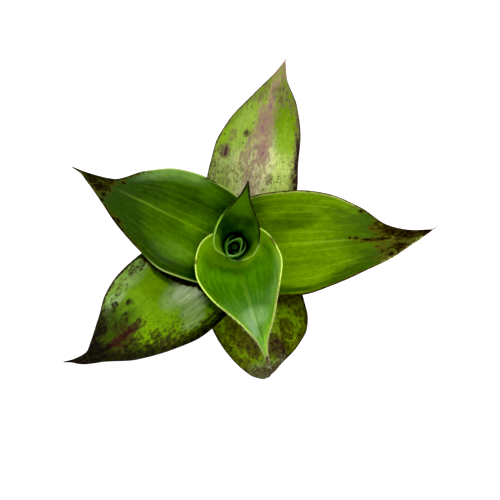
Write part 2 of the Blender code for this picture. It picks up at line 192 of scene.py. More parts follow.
LEAVES = {
    "leaf_1_bottom": Leaf(
        azimuth=-76.2, sheath=5.9, node=57,
        rib=[(9, 0, 66), (20, 0, 73), (36, 0, 76), (50, 0, 73), (60, 0, 65), (64.5, 0, 55),
             (66, 0, 46)],
        left=[(0.12, 22), (0.24, 25.7), (0.38, 27), (0.46, 26.9), (0.54, 24.6), (0.62, 18.6),
              (0.76, 6.6), (0.88, 1.8), (1, 0.4)],
        right=[(0.12, 22), (0.24, 24), (0.38, 21.6), (0.52, 18.1), (0.62, 14.4), (0.76, 8.4),
               (0.88, 3.9), (1, 0.4)]),
    "leaf_2_top": Leaf(
        azimuth=74.9, sheath=5.7, node=63,
        rib=[(9, 0, 72), (24, -1, 81), (45, -1.5, 88), (65, -1, 94), (80, -0.5, 98),
             (86.7, 0, 100)],
        left=[(0.12, 21.5), (0.24, 23), (0.38, 23.8), (0.52, 23.6), (0.67, 19.5), (0.81, 11.3),
              (0.92, 4.8), (1, 0.4)],
        right=[(0.12, 21), (0.24, 22), (0.38, 21), (0.52, 17.4), (0.67, 14.7), (0.81, 9.8),
               (0.92, 2.7), (1, 0.4)]),
    "leaf_3_lower_left": Leaf(
        azimuth=213.7, sheath=5.5, node=69.3,
        rib=[(9.5, 0, 79), (26, 1, 87), (48, 3, 91), (68, 5, 89), (85, 4.4, 83), (97.2, 0.2, 76)],
        left=[(0.12, 22.5), (0.24, 25.8), (0.38, 25.3), (0.52, 21), (0.67, 13.6), (0.81, 5.4),
              (0.92, 2.2), (0.965, 0.7), (1, 0.3)],
        right=[(0.12, 22.5), (0.24, 25), (0.38, 24.6), (0.5, 23.2), (0.6, 19.6), (0.67, 15.2),
               (0.81, 5.6), (0.86, 2.3), (0.92, 1.1), (0.965, 0.5), (1, 0.3)]),
    "leaf_4_right": Leaf(
        azimuth=3.5, sheath=5.3, node=75.6,
        rib=[(9.5, 0, 85), (24, 0, 94), (44, 0, 101), (64, 0, 105), (78, 0.8, 105),
             (89, 2.2, 103)],
        left=[(0.12, 23.5), (0.22, 26.6), (0.37, 25.4), (0.52, 22.1), (0.67, 14.4), (0.79, 5.5),
              (0.9, 1.9), (1, 0.4)],
        right=[(0.12, 23), (0.22, 26.5), (0.37, 25.1), (0.52, 20.4), (0.67, 14.6), (0.79, 9.8),
               (0.9, 4.6), (1, 0.4)]),
    "leaf_5_left": Leaf(
        azimuth=153.8, sheath=5.1, node=81.9,
        rib=[(9.5, 0, 92), (22, 0, 102), (40, 0, 110), (58, 0, 115), (70, 0, 117),
             (79, 0, 118)],
        left=[(0.12, 23), (0.22, 25.5), (0.37, 25.2), (0.52, 20.9), (0.67, 14.9), (0.79, 8.9),
              (0.9, 3.3), (0.96, 0.7), (1, 0.3)],
        right=[(0.12, 22.5), (0.22, 24.4), (0.37, 23.7), (0.52, 20.9), (0.67, 12.8), (0.79, 3.5),
               (0.9, 1.2), (0.96, 0.5), (1, 0.3)]),
    "leaf_6_front": Leaf(
        azimuth=-73.7, sheath=4.9, node=88.2,
        rib=[(8, 0, 98), (16, 0, 109), (28, 0, 118), (40, 0, 123), (48, 0, 122), (53, 0, 119)],
        left=[(0.14, 21.3), (0.25, 24.7), (0.38, 23.5), (0.52, 17.8), (0.71, 9.2), (0.87, 2.1),
              (1, 0.3)],
        right=[(0.14, 22.6), (0.25, 27.1), (0.38, 25.8), (0.52, 18.8), (0.62, 11.8), (0.71, 6.8),
               (0.87, 1.5), (1, 0.3)],
        curl=SCOOP_CURL),
    "leaf_7_upright": Leaf(
        azimuth=76.9, sheath=4.6, node=94.5,
        rib=[(7.5, 0, 106), (13, 0, 121), (19.5, 0, 137), (24.5, 0, 148), (27.7, 0, 155)],
        left=[(0.2, 20.2), (0.35, 21.7), (0.54, 16.2), (0.73, 5.3), (0.83, 2.2), (0.91, 0.9),
              (1, 0.4)],
        right=[(0.2, 21.2), (0.35, 20.4), (0.54, 12.4), (0.73, 4.3), (0.83, 2.1), (0.91, 0.9),
               (1, 0.4)],
        curl=CUP_CURL, spiral=CUP_SPIRAL),
    "leaf_8_heart": Leaf(
        azimuth=239, sheath=3.5, node=99.5,
        rib=[(3.9, 0, 107), (4.1, 0, 111), (4.4, 0, 115), (4.3, 0, 118.5)],
        left=[(0.42, 11.4), (0.62, 8.6), (0.8, 4.4), (1, 0.4)],
        right=[(0.42, 11.8), (0.62, 9.4), (0.8, 4.8), (1, 0.4)],
        curl=HEART_CURL, lean=HEART_LEAN, blade=HEART_BLADE, rows=HEART_ROWS,
        columns=HEART_COLUMNS),
    "leaf_9_heart": Leaf(
        azimuth=50, sheath=2.4, node=105.3,
        rib=[(3.3, 0, 112.5), (4.0, 0, 115), (4.8, 0, 117)],
        left=[(0.45, 7.4), (0.65, 5), (0.85, 2), (1, 0.4)],
        right=[(0.45, 7.2), (0.65, 4.6), (0.85, 1.8), (1, 0.4)],
        curl=INNER_CURL, lean=HEART_LEAN, blade=HEART_BLADE, rows=HEART_ROWS,
        columns=HEART_COLUMNS),
}

# Bud, in mm
BUD_BASE = 110.4
BUD_HEIGHT = 6.2
BUD_RADIUS = 1.1
BUD_LOW_BELLY = 1.4
BUD_FULLNESS = 0.6
BUD_TWIST = 1.6
BUD_GROOVE = 0.16
BUD_ROWS = 60
BUD_STEPS = 72

# Dry bristle at each leaf's end: length in mm and lean to the left
BRISTLES = {
    "leaf_1_bottom": (2.0, 0.2), "leaf_2_top": (3.2, -0.5), "leaf_3_lower_left": (1.8, -0.3),
    "leaf_4_right": (5.6, 1.0), "leaf_5_left": (1.8, -0.3), "leaf_6_front": (5.0, 0.25),
    "leaf_7_upright": (1.8, 0.1), "leaf_8_heart": (1.0, 0.1), "leaf_9_heart": (0.8, 0.1)}
BRISTLE_RADIUS = 0.34
BRISTLE_ROOT = 0.9
BRISTLE_SIDES = 7

# Hairs along the margins: start and end as shares of the length, spacing and length in mm
CILIA = {
    "leaf_6_front": (0.16, 0.97, 0.75, 0.75), "leaf_7_upright": (0.1, 0.5, 0.9, 0.8),
    "leaf_8_heart": (0.25, 0.95, 1.6, 0.5), "leaf_9_heart": (0.25, 0.95, 1.6, 0.4)}
HAIR_RADIUS = 0.045
HAIR_ROOT = 0.15
HAIR_SIDES = 3
HAIR_TAPER = 0.55
HAIR_END = 0.006


# Lines and curves

def hermite(u, start, end, leave, arrive):
    """Cubic from start to end with the given end tangents, at u from 0 to 1."""
    return ((2 * u**3 - 3 * u**2 + 1) * start + (u**3 - 2 * u**2 + u) * leave
            + (3 * u**2 - 2 * u**3) * end + (u**3 - u**2) * arrive)


def hermite_slope(u, start, end, leave, arrive):
    """Rate of change of the same cubic."""
    return ((6 * u**2 - 6 * u) * (start - end) + (3 * u**2 - 4 * u + 1) * leave
            + (3 * u**2 - 2 * u) * arrive)


def smooth_value(stations, t):
    """Value at each t of a smooth line through (t, value) stations, with no overshoot."""
    x, y = np.array(stations, float).T
    step = np.diff(x)
    slope = np.diff(y) / step
    tangent = np.zeros_like(y)
    tangent[0] = slope[0]
    tangent[-1] = slope[-1]
    for i in range(1, len(x) - 1):
        if slope[i - 1] * slope[i] > 0:
            before = 2 * step[i] + step[i - 1]
            after = step[i] + 2 * step[i - 1]
            tangent[i] = (before + after) / (before / slope[i - 1] + after / slope[i])
    i = np.clip(np.searchsorted(x, t, side="right") - 1, 0, len(x) - 2)
    u = (t - x[i]) / step[i]
    return hermite(u, y[i], y[i + 1], tangent[i] * step[i], tangent[i + 1] * step[i])


def unit(vectors):
    """The same directions with a length of 1."""
    return vectors / np.linalg.norm(vectors, axis=-1, keepdims=True)


def walked(points):
    """Distance from the first point to each point of a line."""
    return np.concatenate([[0], np.cumsum(np.linalg.norm(np.diff(points, axis=0), axis=1))])


def midrib(points, t):
    """Points and directions at shares t of a smooth curve through the midrib's points."""
    p = np.array(points, float)
    along = walked(p)
    tangent = np.zeros_like(p)
    tangent[1:-1] = (p[2:] - p[:-2]) / (along[2:] - along[:-2])[:, None]
    tangent[0] = 1.5 * (p[1] - p[0]) / (along[1] - along[0]) - 0.5 * tangent[1]
    tangent[-1] = 1.5 * (p[-1] - p[-2]) / (along[-1] - along[-2]) - 0.5 * tangent[-2]
    distance = t * along[-1]
    i = np.clip(np.searchsorted(along, distance, side="right") - 1, 0, len(along) - 2)
    span = (along[i + 1] - along[i])[:, None]
    u = (distance - along[i])[:, None] / span
    ends = (p[i], p[i + 1], tangent[i] * span, tangent[i + 1] * span)
    return hermite(u, *ends), unit(hermite_slope(u, *ends))


def ramp(value, low, high):
    """Smooth rise from 0 at low to 1 at high."""
    share = np.clip((value - low) / (high - low), 0, 1)
    return share * share * (3 - 2 * share)


# Leaf forms

def leaf_surface(leaf, t, s):
    """Points of a leaf's middle surface in mm, at shares t of its length and s across."""
    out = np.array([math.cos(leaf.azimuth), math.sin(leaf.azimuth), 0])
    aside = np.array([-math.sin(leaf.azimuth), math.cos(leaf.azimuth), 0])
    up = np.array([0, 0, 1.0])
    rib, direction = [part @ np.stack([out, aside, up]) for part in midrib(leaf.rib, t)]
    across = unit(aside - (direction @ aside)[:, None] * direction)
    normal = np.cross(direction, across)
    lean = np.arctan2(normal[:, 2], -(normal @ out)) * smooth_value(leaf.lean, t)
    inward = np.sin(lean)[:, None] * up - np.cos(lean)[:, None] * out
    left = smooth_value(leaf.left, t)[:, None]
    right = smooth_value(leaf.right, t)[:, None]
    radius = (left + right) / 2 / np.radians(smooth_value(leaf.curl, t))[:, None]
    angle = np.where(s > 0, left, right) * s / radius
    swept = radius * (1 + smooth_value(leaf.spiral, t)[:, None] * s)
    sideways = swept * np.sin(angle)
    lift = radius - swept * np.cos(angle)
    return rib[:, None] + sideways[..., None] * across[:, None] + lift[..., None] * inward[:, None]


class Skin:
    """Fine grid over a leaf, a row for each step along it and a column for each step across."""

    def __init__(self, leaf):
        closed = leaf.curl[1][0]
        sheath = np.linspace(0, closed, SHEATH_ROWS + 1)
        blade = closed + (1 - closed) * np.linspace(0, 1, leaf.rows + 1)[1:]
        rows = np.concatenate([sheath, blade])
        self.closed_rows = SHEATH_ROWS + 1
        halves = []
        for stations in (leaf.right, leaf.left):
            width = smooth_value(stations, rows)[:, None]
            bead = np.minimum(BEAD, BEAD_MOST * width)
            turn = np.linspace(0, math.pi / 2, BEAD_COLUMNS)
            inner = bead + (width - bead) * np.linspace(0, 1, leaf.columns + 1)[1:]
            halves.append(1 - np.concatenate([bead * (1 - np.cos(turn)), inner], axis=1) / width)
        self.s = np.concatenate([-halves[0], halves[1][:, -2::-1]], axis=1)
        self.t = np.repeat(rows[:, None], self.s.shape[1], axis=1)
        left = smooth_value(leaf.left, rows)[:, None]
        right = smooth_value(leaf.right, rows)[:, None]
        self.width = np.where(self.s > 0, left, right)
        self.middle = leaf_surface(leaf, rows, self.s)
        rib = self.middle[:, self.s.shape[1] // 2]
        self.along = walked(rib)[:, None] + 0 * self.s
        self.across = self.s * self.width
        self.edge = (1 - abs(self.s)) * self.width
        self.normal = self.facing()

    def facing(self):
        """Direction out of the upper face at each point of the grid."""
        lengthwise = np.gradient(self.middle, axis=0)
        crosswise = np.gradient(self.middle, axis=1)
        normal = np.cross(lengthwise, crosswise)
        normal /= np.linalg.norm(normal, axis=2, keepdims=True) + 1e-12
        seam = unit(normal[:self.closed_rows, 0] + normal[:self.closed_rows, -1])
        normal[:self.closed_rows, [0, -1]] = seam[:, None]
        return normal


def ripple(skin, seed, wavelength):
    """Soft waves from -1 to 1 over a leaf, drawn from a seed."""
    draw = np.random.default_rng(seed)
    total = 0
    for _ in range(5):
        turn = draw.uniform(0, math.pi)
        size = wavelength * draw.uniform(0.7, 1.6)
        place = skin.along * math.cos(turn) + skin.across * math.sin(turn)
        total = total + np.sin(math.tau * place / size + draw.uniform(0, math.tau))
    return total / 5


def faces_of(skin, leaf, seed):
    """Upper and lower face of a leaf: thick at the midrib, thin and round at the margins."""
    opened = ramp(skin.t, leaf.curl[1][0], leaf.curl[3][0])
    body = opened * (1 - ramp(skin.t, 0.86, 0.98))
    wave = PUCKER * ripple(skin, seed, PUCKER_SIZE) * body
    wave += MARGIN_WAVE * ripple(skin, seed + 1, MARGIN_WAVE_SIZE) * abs(skin.s)**3 * body
    middle = skin.middle + (wave * leaf.blade / BLADE)[..., None] * skin.normal
    thick = leaf.blade / 2
    half = THIN + (thick - THIN) * ramp(skin.edge / skin.width, 0, 0.8)
    half = thick + (half - thick) * opened
    half = np.minimum(half, TIP_THIN * skin.width)
    bead = np.minimum(BEAD, BEAD_MOST * skin.width)
    round_off = np.sqrt(np.clip(1 - (1 - np.minimum(skin.edge / bead, 1))**2, 0, 1))
    round_off[:skin.closed_rows] = 1
    groove = GROOVE * np.exp(-(skin.across / GROOVE_WIDTH)**2) * body
    keel = KEEL * np.exp(-(skin.across / KEEL_WIDTH)**2) * body
    veins = VEINED_WIDTH / VEIN_SPACING
    pleat = PLEAT * np.cos(math.tau * skin.s * veins) * body * (1 - abs(skin.s)**6)
    size = leaf.blade / BLADE
    upper = (half * round_off + (pleat - groove) * size * round_off)[..., None]
    lower = (half * round_off + (keel - pleat) * size * round_off)[..., None]
    return middle + upper * skin.normal, middle - lower * skin.normal


def closed_mesh(name, points, faces, maps=(), merge=False):
    """Smooth closed mesh from points in mm, its faces turned outward.

    maps are UV maps, each a title and a pair for each corner of a face; merge joins doubled points.
    """
    mesh = bpy.data.meshes.new(name)
    mesh.from_pydata((np.array(points) * MM).tolist(), [], faces)
    for title, pairs in maps:
        layer = mesh.uv_layers.new(name=title)
        layer.uv.foreach_set("vector", pairs.astype(np.float32).ravel())
    form = bmesh.new()
    form.from_mesh(mesh)
    if merge:
        bmesh.ops.remove_doubles(form, verts=form.verts, dist=MERGE * MM)
    bmesh.ops.recalc_face_normals(form, faces=form.faces)
    form.to_mesh(mesh)
    form.free()
    mesh.shade_smooth()
    return mesh


def leaf_mesh(name, skin, leaf, seed, maps):
    """Closed mesh of a leaf from its two faces, with the leaf's own coordinates as UV maps."""
    upper, lower = faces_of(skin, leaf, seed)
    rows, columns = skin.s.shape
    points = np.concatenate([upper, lower[:, ::-1]], axis=1).reshape(-1, 3)
    ids = np.arange(rows * columns * 2).reshape(rows, -1)
    closed = skin.closed_rows
    shared = ids.copy()
    shared[:closed, [columns - 1, columns]] = ids[:closed, [0, -1]]
    shared[closed:, [columns, -1]] = ids[closed:, [columns - 1, 0]]
    shared = shared.ravel()
    used = np.unique(shared)
    place = np.searchsorted(used, shared)
    beside = np.roll(ids, -1, axis=1)
    quads = np.stack([ids[:-1], beside[:-1], beside[1:], ids[1:]], axis=-1)
    kept = np.ones(quads.shape[:2], bool)
    kept[:closed - 1, [columns - 1, 2 * columns - 1]] = False
    faces = quads[kept].tolist()
    under = ids[:, ::-1]
    for i in range(columns - 1):
        faces.append([ids[0, i], under[0, i], under[0, i + 1], ids[0, i + 1]])
        faces.append([ids[-1, i], ids[-1, i + 1], under[-1, i + 1], under[-1, i]])
    faces = [[face[i] for i in range(4) if shared[face[i]] != shared[face[i - 1]]] for face in faces]
    faces = [face for face in faces if len(face) > 2]
    corners = np.concatenate(faces)
    drawn = []
    for title, pair in maps.items():
        both = np.stack([np.concatenate([side[0], side[1][:, ::-1]], axis=1) for side in pair], -1)
        drawn.append((title, both.reshape(-1, 2)[corners]))
    return closed_mesh(name, points[used], [place[face].tolist() for face in faces], drawn)


# Places of colour on a leaf. A stain's place gives 0.5 on its outline and more inside.

def oval(skin, along, across, length, width, full=1.0):
    """Spot of a length and width round a point of the leaf, in mm, up to a full amount."""
    reach = ((skin.along - along) / length)**2 + ((skin.across - across) / width)**2
    return np.minimum(full, 1 - 2 * reach)


def spots(skin, *places):
    """Spots given as (along, across, length, width, full amount), in mm."""
    return most(*[oval(skin, *place) for place in places])


def glow(skin, along, across, reach, side_reach):
    """Soft patch from 1 at a point of the leaf to 0 at its reach, in mm."""
    return ramp(oval(skin, along, across, reach * 1.4, side_reach * 1.4), 0, 1)


def patches(skin, *places):
    """Soft patches given as (amount, along, across, reach, side reach), in mm."""
    return [amount * glow(skin, *place) for amount, *place in places]


def past(skin, start, end):
    """Smooth rise from 0 at start to 1 at end, in mm from the foot, or a fall if end is less."""
    return ramp(skin.along, start, end)


def streak(skin, start, end, width, fade=8, across=0, full=1.0):
    """Band of a width along the midrib, from start to end in mm."""
    aside = abs(skin.across - across) / width
    ends = 0.5 + 0.5 * np.maximum(start - skin.along, skin.along - end) / fade
    return np.minimum(full, 1 - np.maximum(aside, ends))


def border(skin, width, side=0, start=0, end=999, fade=8, full=1.0):
    """Strip of a width along one margin (side 1 or -1) or both (0), in mm."""
    inside = skin.edge / width * 0.5
    ends = 0.5 + 0.5 * np.maximum(start - skin.along, skin.along - end) / fade
    other = np.where(skin.s * side < 0, 1, 0)
    return np.minimum(full, 1 - np.maximum(np.maximum(inside, ends), other))


def most(*amounts):
    """Union of places."""
    total = amounts[0]
    for amount in amounts[1:]:
        total = np.maximum(total, amount)
    return np.clip(total, 0, 1)


# Nodes

def linear(hex_colour):
    """Linear red, green, blue and alpha of an sRGB hex colour."""
    channels = [int(hex_colour[i:i + 2], 16) / 255 for i in (1, 3, 5)]
    return [c / 12.92 if c <= 0.04045 else ((c + 0.055) / 1.055) ** 2.4 for c in channels] + [1]


def feed(tree, socket, value):
    """Give a socket a link, a hex colour or a number."""
    if isinstance(value, bpy.types.NodeSocket):
        tree.links.new(value, socket)
    elif isinstance(value, str):
        socket.default_value = linear(value)
    else:
        socket.default_value = value


def feed_named(tree, node, **sockets):
    """Feed a node's sockets by name, with an underscore for each space."""
    for key, value in sockets.items():
        feed(tree, node.inputs[key.replace("_", " ")], value)


def add(tree, kind, *fed, **settings):
    """Add a node and return its first output.

    Values given in order go to the inputs in use; a setting with a capital is an input by name,
    and one in small letters is a property of the node.
    """
    node = tree.nodes.new("ShaderNode" + kind)
    for key, value in settings.items():
        if key[0].islower():
            setattr(node, key, value)
    in_use = [socket for socket in node.inputs if socket.enabled]
    for socket, value in zip(in_use, fed):
        feed(tree, socket, value)
    feed_named(tree, node, **{key: settings[key] for key in settings if key[0].isupper()})
    return next(socket for socket in node.outputs if socket.enabled)


# Settings that many nodes share
COLOURED = {"data_type": "RGBA"}
SHADED = {"data_type": "RGBA", "blend_type": "MULTIPLY"}
SOFT = {"interpolation_type": "SMOOTHSTEP"}
TIMES = {"operation": "MULTIPLY"}
TIMES_PLUS = {"operation": "MULTIPLY_ADD"}


def new_finish(name, **sockets):
    """Material with a Principled shader whose constant sockets are set; gives tree and shader."""
    material = bpy.data.materials.new(name)
    material.use_nodes = True
    tree = material.node_tree
    shader = tree.nodes["Principled BSDF"]
    feed_named(tree, shader, **sockets)
    return material, tree, shader


# Leaf finishes

@dataclass
class Greens:
    """Colours of one leaf as sRGB hex, and how its patterns show."""

    deep: str
    main: str
    pale: str
    vein: str
    speck: str
    stain: str
    halo: str
    under: str
    bloom: str = "#A9B89A"
    rim: str = "#C4DC6A"
    ragged: float = 1.2
    blotch: float = 1.5
    sharp: float = 0.3
    vein_show: float = 0.5
    rib_show: float = 0.7
    gloss: float = 0.42
    shine: float = 0.1
    rim_width: float = 0.7
    weak: float = 0.5
    stretch: float = 0.7


def leaf_finish(name, greens, seed):
    """Living leaf: green tissue under a thin waxy cuticle, with soft gloss and sap-filled stains."""
    material, tree, shader = new_finish(
        name, IOR=1.45, Specular_IOR_Level=greens.shine, Subsurface_Weight=0.25,
        Subsurface_Radius=(0.7, 1.0, 0.25), Subsurface_Scale=0.0008)
    size = add(tree, "UVMap", uv_map="size")
    share, rim, stain, bloom, side = [
        add(tree, "SeparateXYZ", add(tree, "UVMap", uv_map=title)).node.outputs
        for title in ("share", "rim", "stain", "bloom", "side")]
    across = add(tree, "SeparateXYZ", size).node.outputs["Y"]

    # Broad shifts of green, 30 mm long and 9 mm wide
    wide = add(tree, "Mapping", size, Location=(seed * 37.0, seed * 11.0, 0), Scale=(0.3, 1, 1))
    wash = add(tree, "TexNoise", wide, Scale=1 / 9, Detail=3, Roughness=0.55)
    shift = add(tree, "MapRange", wash, 0.25, 0.75, -0.22, 0.22)
    tone = add(tree, "Math", stain["Y"], shift, operation="ADD")
    to_main = add(tree, "MapRange", tone, 0.0, 0.5, **SOFT)
    green = add(tree, "Mix", to_main, greens.deep, greens.main, **COLOURED)
    to_pale = add(tree, "MapRange", tone, 0.5, 1.0, **SOFT)
    green = add(tree, "Mix", to_pale, green, greens.pale, **COLOURED)

    # Parallel veins a few mm apart, drawn together towards the tip, in broken pale lines
    turns = add(tree, "Math", share["Y"], 2 * VEINED_WIDTH / VEIN_SPACING * math.tau, **TIMES)
    wander = add(tree, "TexNoise", wide, Scale=1 / 14, Detail=2)
    bent = add(tree, "Math", wander, 7.0, turns, **TIMES_PLUS)
    wave = add(tree, "Math", bent, operation="COSINE")
    line = add(tree, "MapRange", wave, 0.1, 1.0, **SOFT)
    drawn = add(tree, "Mapping", size, Location=(seed * 7.0, seed * 3.0, 0), Scale=(0.07, 1, 1))
    broken = add(tree, "TexNoise", drawn, Scale=1 / 2.6, Detail=3, Roughness=0.6)
    strength = add(tree, "MapRange", broken, 0.4, 0.66, 0.0, greens.vein_show)
    vein = add(tree, "Math", line, strength, **TIMES)
    vein = add(tree, "Math", vein, bloom["Y"], **TIMES)
    green = add(tree, "Mix", vein, green, greens.vein, **COLOURED)
    from_rib = add(tree, "Math", across, operation="ABSOLUTE")
    rib = add(tree, "MapRange", from_rib, 0.75, 0.2, 0.0, greens.rib_show)
    rib = add(tree, "Math", rib, bloom["Y"], **TIMES)
    green = add(tree, "Mix", rib, green, greens.vein, **COLOURED)

    # Underside, duller and paler
    dull = add(tree, "Mix", 0.6, green, greens.under, **COLOURED)
    green = add(tree, "Mix", side["X"], dull, green, **COLOURED)

    # Rows of cells 0.5 mm wide, drawn coarser than life, and a mottle from 2.4 mm down
    rows = add(tree, "Mapping", size, Location=(seed * 5.0, 0, 0), Scale=(0.12, 1, 1))
    cells = add(tree, "TexNoise", rows, Scale=1 / 0.5, Detail=4, Roughness=0.7)
    light = add(tree, "MapRange", cells, 0.2, 0.8, 0.74, 1.26)
    grain = add(tree, "TexNoise", size, Scale=1 / 2.4, Detail=5, Roughness=0.78)
    uneven = add(tree, "MapRange", grain, 0.25, 0.75, 0.72, 1.28)
    light = add(tree, "Math", light, uneven, **TIMES)
    green = add(tree, "Mix", 1.0, green, light, **SHADED)

    # Wax bloom, a dull silver film in streaks; through the same film the painters also lay a painted
    # sheen on leaves 1, 3 and 5, and a painted highlight and sheen on leaf 6
    film = add(tree, "TexNoise", rows, Scale=1 / 1.6, Detail=5, Roughness=0.75)
    film = add(tree, "MapRange", film, 0.34, 0.68, 0.3, 1.25)
    film = add(tree, "Math", film, bloom["X"], **TIMES, use_clamp=True)
    wax = add(tree, "Mix", 0.6, greens.bloom, light, **SHADED)
    green = add(tree, "Mix", film, green, wax, **COLOURED)

    # Margin, a thin pale bead where the leaf is young
    bead = add(tree, "MapRange", rim["X"], greens.rim_width, 0.15, **SOFT)
    bead = add(tree, "Math", bead, rim["Y"], **TIMES)
    green = add(tree, "Mix", bead, green, greens.rim, **COLOURED)

    # Purple-brown sap stains that fade at their outlines, in a yellowed halo; the same mask also
    # lays, as dark stain, the painted shadow that the painters of leaves 1 and 3 give
    spread = add(tree, "Mapping", size, Location=(seed * 13.0, seed * 3.0, 0),
                 Scale=(greens.stretch, 1, 1))
    blots = add(tree, "TexNoise", spread, Scale=1 / greens.blotch, Detail=4, Roughness=0.55,
                Distortion=0.3)
    torn = add(tree, "Math", blots, -0.5, operation="ADD")
    torn = add(tree, "Math", torn, greens.ragged, stain["X"], **TIMES_PLUS)
    halo = add(tree, "MapRange", torn, 0.3, 0.56, 0.0, 0.6, **SOFT)
    green = add(tree, "Mix", halo, green, greens.halo, **COLOURED)
    sap = add(tree, "Mix", side["Y"], greens.speck, greens.stain, **COLOURED)
    sap = add(tree, "Mix", 1.0, sap, light, **SHADED)
    mask = add(tree, "MapRange", torn, 0.5 - greens.sharp, 0.5 + greens.sharp, **SOFT)
    thin = add(tree, "TexNoise", spread, Scale=1 / 3.5, Detail=3, Roughness=0.7)
    thin = add(tree, "MapRange", thin, 0.3, 0.7, greens.weak, 0.97)
    solid = add(tree, "MapRange", torn, 0.65, 0.95)
    thin = add(tree, "Math", thin, solid, operation="MAXIMUM")
    mask = add(tree, "Math", mask, thin, **TIMES)
    green = add(tree, "Mix", mask, green, sap, **COLOURED)

    # Freckles, round, up to 1.6 mm and of every strength
    freckle = add(tree, "TexVoronoi", size, Scale=1 / 1.35).node.outputs
    random = add(tree, "SeparateColor", freckle["Color"]).node.outputs
    reach = add(tree, "Math", random["Red"], share["X"], **TIMES)
    inside = add(tree, "Math", reach, -0.6, freckle["Distance"], **TIMES_PLUS)
    dot = add(tree, "MapRange", inside, 0.1, -0.08, **SOFT)
    faint = add(tree, "MapRange", random["Green"], 0.0, 1.0, 0.05, 0.8)
    dot = add(tree, "Math", dot, faint, **TIMES)
    some = add(tree, "MapRange", share["X"], 0.0, 0.2)
    dot = add(tree, "Math", dot, some, **TIMES)
    green = add(tree, "Mix", dot, green, sap, **COLOURED)

    # Dust, a pale mote up to 0.4 mm here and there
    motes = add(tree, "TexVoronoi", size, Scale=1 / 2.2).node.outputs
    random = add(tree, "SeparateColor", motes["Color"]).node.outputs
    reach = add(tree, "MapRange", random["Red"], 0.75, 1.0, 0.0, 0.1)
    mote = add(tree, "Math", reach, motes["Distance"], operation="SUBTRACT")
    mote = add(tree, "MapRange", mote, 0.0, 0.06, 0.0, 0.75)
    mote = add(tree, "Math", mote, side["X"], **TIMES)
    green = add(tree, "Mix", mote, green, "#B4C89A", **COLOURED)

    # Satin gloss that the bloom and the stains break up
    rough = add(tree, "MapRange", cells, 0.2, 0.8, greens.gloss - 0.06, greens.gloss + 0.08)
    rough = add(tree, "Math", film, 0.25, rough, **TIMES_PLUS)
    rough = add(tree, "Math", mask, 0.3, rough, **TIMES_PLUS)
    relief = add(tree, "Math", wave, 0.12, cells, **TIMES_PLUS)
    relief = add(tree, "Math", grain, 0.9, relief, **TIMES_PLUS)
    bump = add(tree, "Bump", Strength=0.45, Distance=0.00014, Height=relief)
    feed_named(tree, shader, Base_Color=green, Roughness=rough, Normal=bump)
    return material


# Pieces

def put(name, data, place=(0, 0, 0)):
    """New object in the scene, at a place in metres."""
    thing = bpy.data.objects.new(name, data)
    thing.location = place
    bpy.context.scene.collection.objects.link(thing)
    return thing


def mesh_of(form, name):
    """Mesh made from a form that isn't needed any more."""
    mesh = bpy.data.meshes.new(name)
    form.to_mesh(mesh)
    form.free()
    return mesh


def add_piece(name, mesh, finish, slot, *nodes):
    """Object of one piece, which rides on the plant's one body and stands for its CAD nodes."""
    piece = put(name, mesh)
    mesh.materials.clear()
    mesh.materials.append(finish)
    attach(piece, "root")
    if nodes:
        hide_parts(*nodes)
    return piece


def make_leaf(name, skin, slot, greens, seed, paint):
    """Leaf with its fine form and its own colours."""
    leaf = LEAVES[name]
    blank = 0 * skin.s
    stain, mauve, tone, bloom, pale_rim, veins, freckles = [blank + look for look in paint(skin)]
    opened = ramp(skin.t, leaf.curl[1][0], leaf.curl[2][0])
    maps = {
        "share": ((freckles, freckles / 2), ((skin.s + 1) / 2, (skin.s + 1) / 2)),
        "size": ((skin.along, skin.along), (skin.across, skin.across)),
        "rim": ((skin.edge, skin.edge), (pale_rim * opened, pale_rim * opened)),
        "stain": ((stain, stain - 0.1), (tone, tone)),
        "bloom": ((bloom, bloom), (veins * opened, veins * 0.6 * opened)),
        "side": ((blank + 1, blank), (mauve, mauve)),
    }
    mesh = leaf_mesh(name, skin, leaf, seed, maps)
    add_piece(name + "_blade", mesh, leaf_finish(name, greens, seed), slot, name)


# Painters of leaves. Each gives stain, mauve, tone, bloom, pale rim, veins and freckles; on some
# leaves the tone and stain also carry painted shade and painted light, and the bloom a painted sheen
# and highlight.

def paint_bottom(skin):
    """Old lowest leaf: dark olive, mottled all over, with a purple edge, a painted shadow under the
    leaf above and a painted sheen near its tip.
    """
    stain = most(spots(skin, (54, 8.5, 14, 12, 0.9), (50.3, -2.9, 14, 8, 0.7),
                       (39.8, -7.8, 22, 12, 0.62), (36, 22, 12, 7, 0.55), (60, -9, 10, 7, 0.5),
                       (46, 14.5, 10, 7, 0.62)),
                 border(skin, 1.3), border(skin, 3.5, 0, full=0.55),
                 border(skin, 2.2, 1, 20, 90), border(skin, 3.6, 1, 48, 90, 6, 0.5),
                 0.27 + 0.45 * past(skin, 60, 68) + 0.4 * past(skin, 34, 24))
    # Painted shadow below the margin of the leaf that lies over this one; it darkens the tone and is
    # laid as a dark stain
    shade = past(skin, 38, 32.5) * ramp(skin.across, 4, 10) * past(skin, 16, 24)
    mauve = ramp(oval(skin, 50, 0, 34, 20), 0.0, 0.6)
    tone = 0.42 + sum(patches(skin, (0.25, 44, 15, 22, 12), (0.25, 54, -9, 22, 9))) - shade
    # Painted sheen: a grey strip inside the left margin near the tip, and a grey cast over the tip
    bloom = most(1.2 * glow(skin, 61, 10, 7, 4), 0.6 * past(skin, 58, 66))
    return most(stain, 0.75 * shade), mauve, tone, bloom, 0.0, 0.2, 1.0


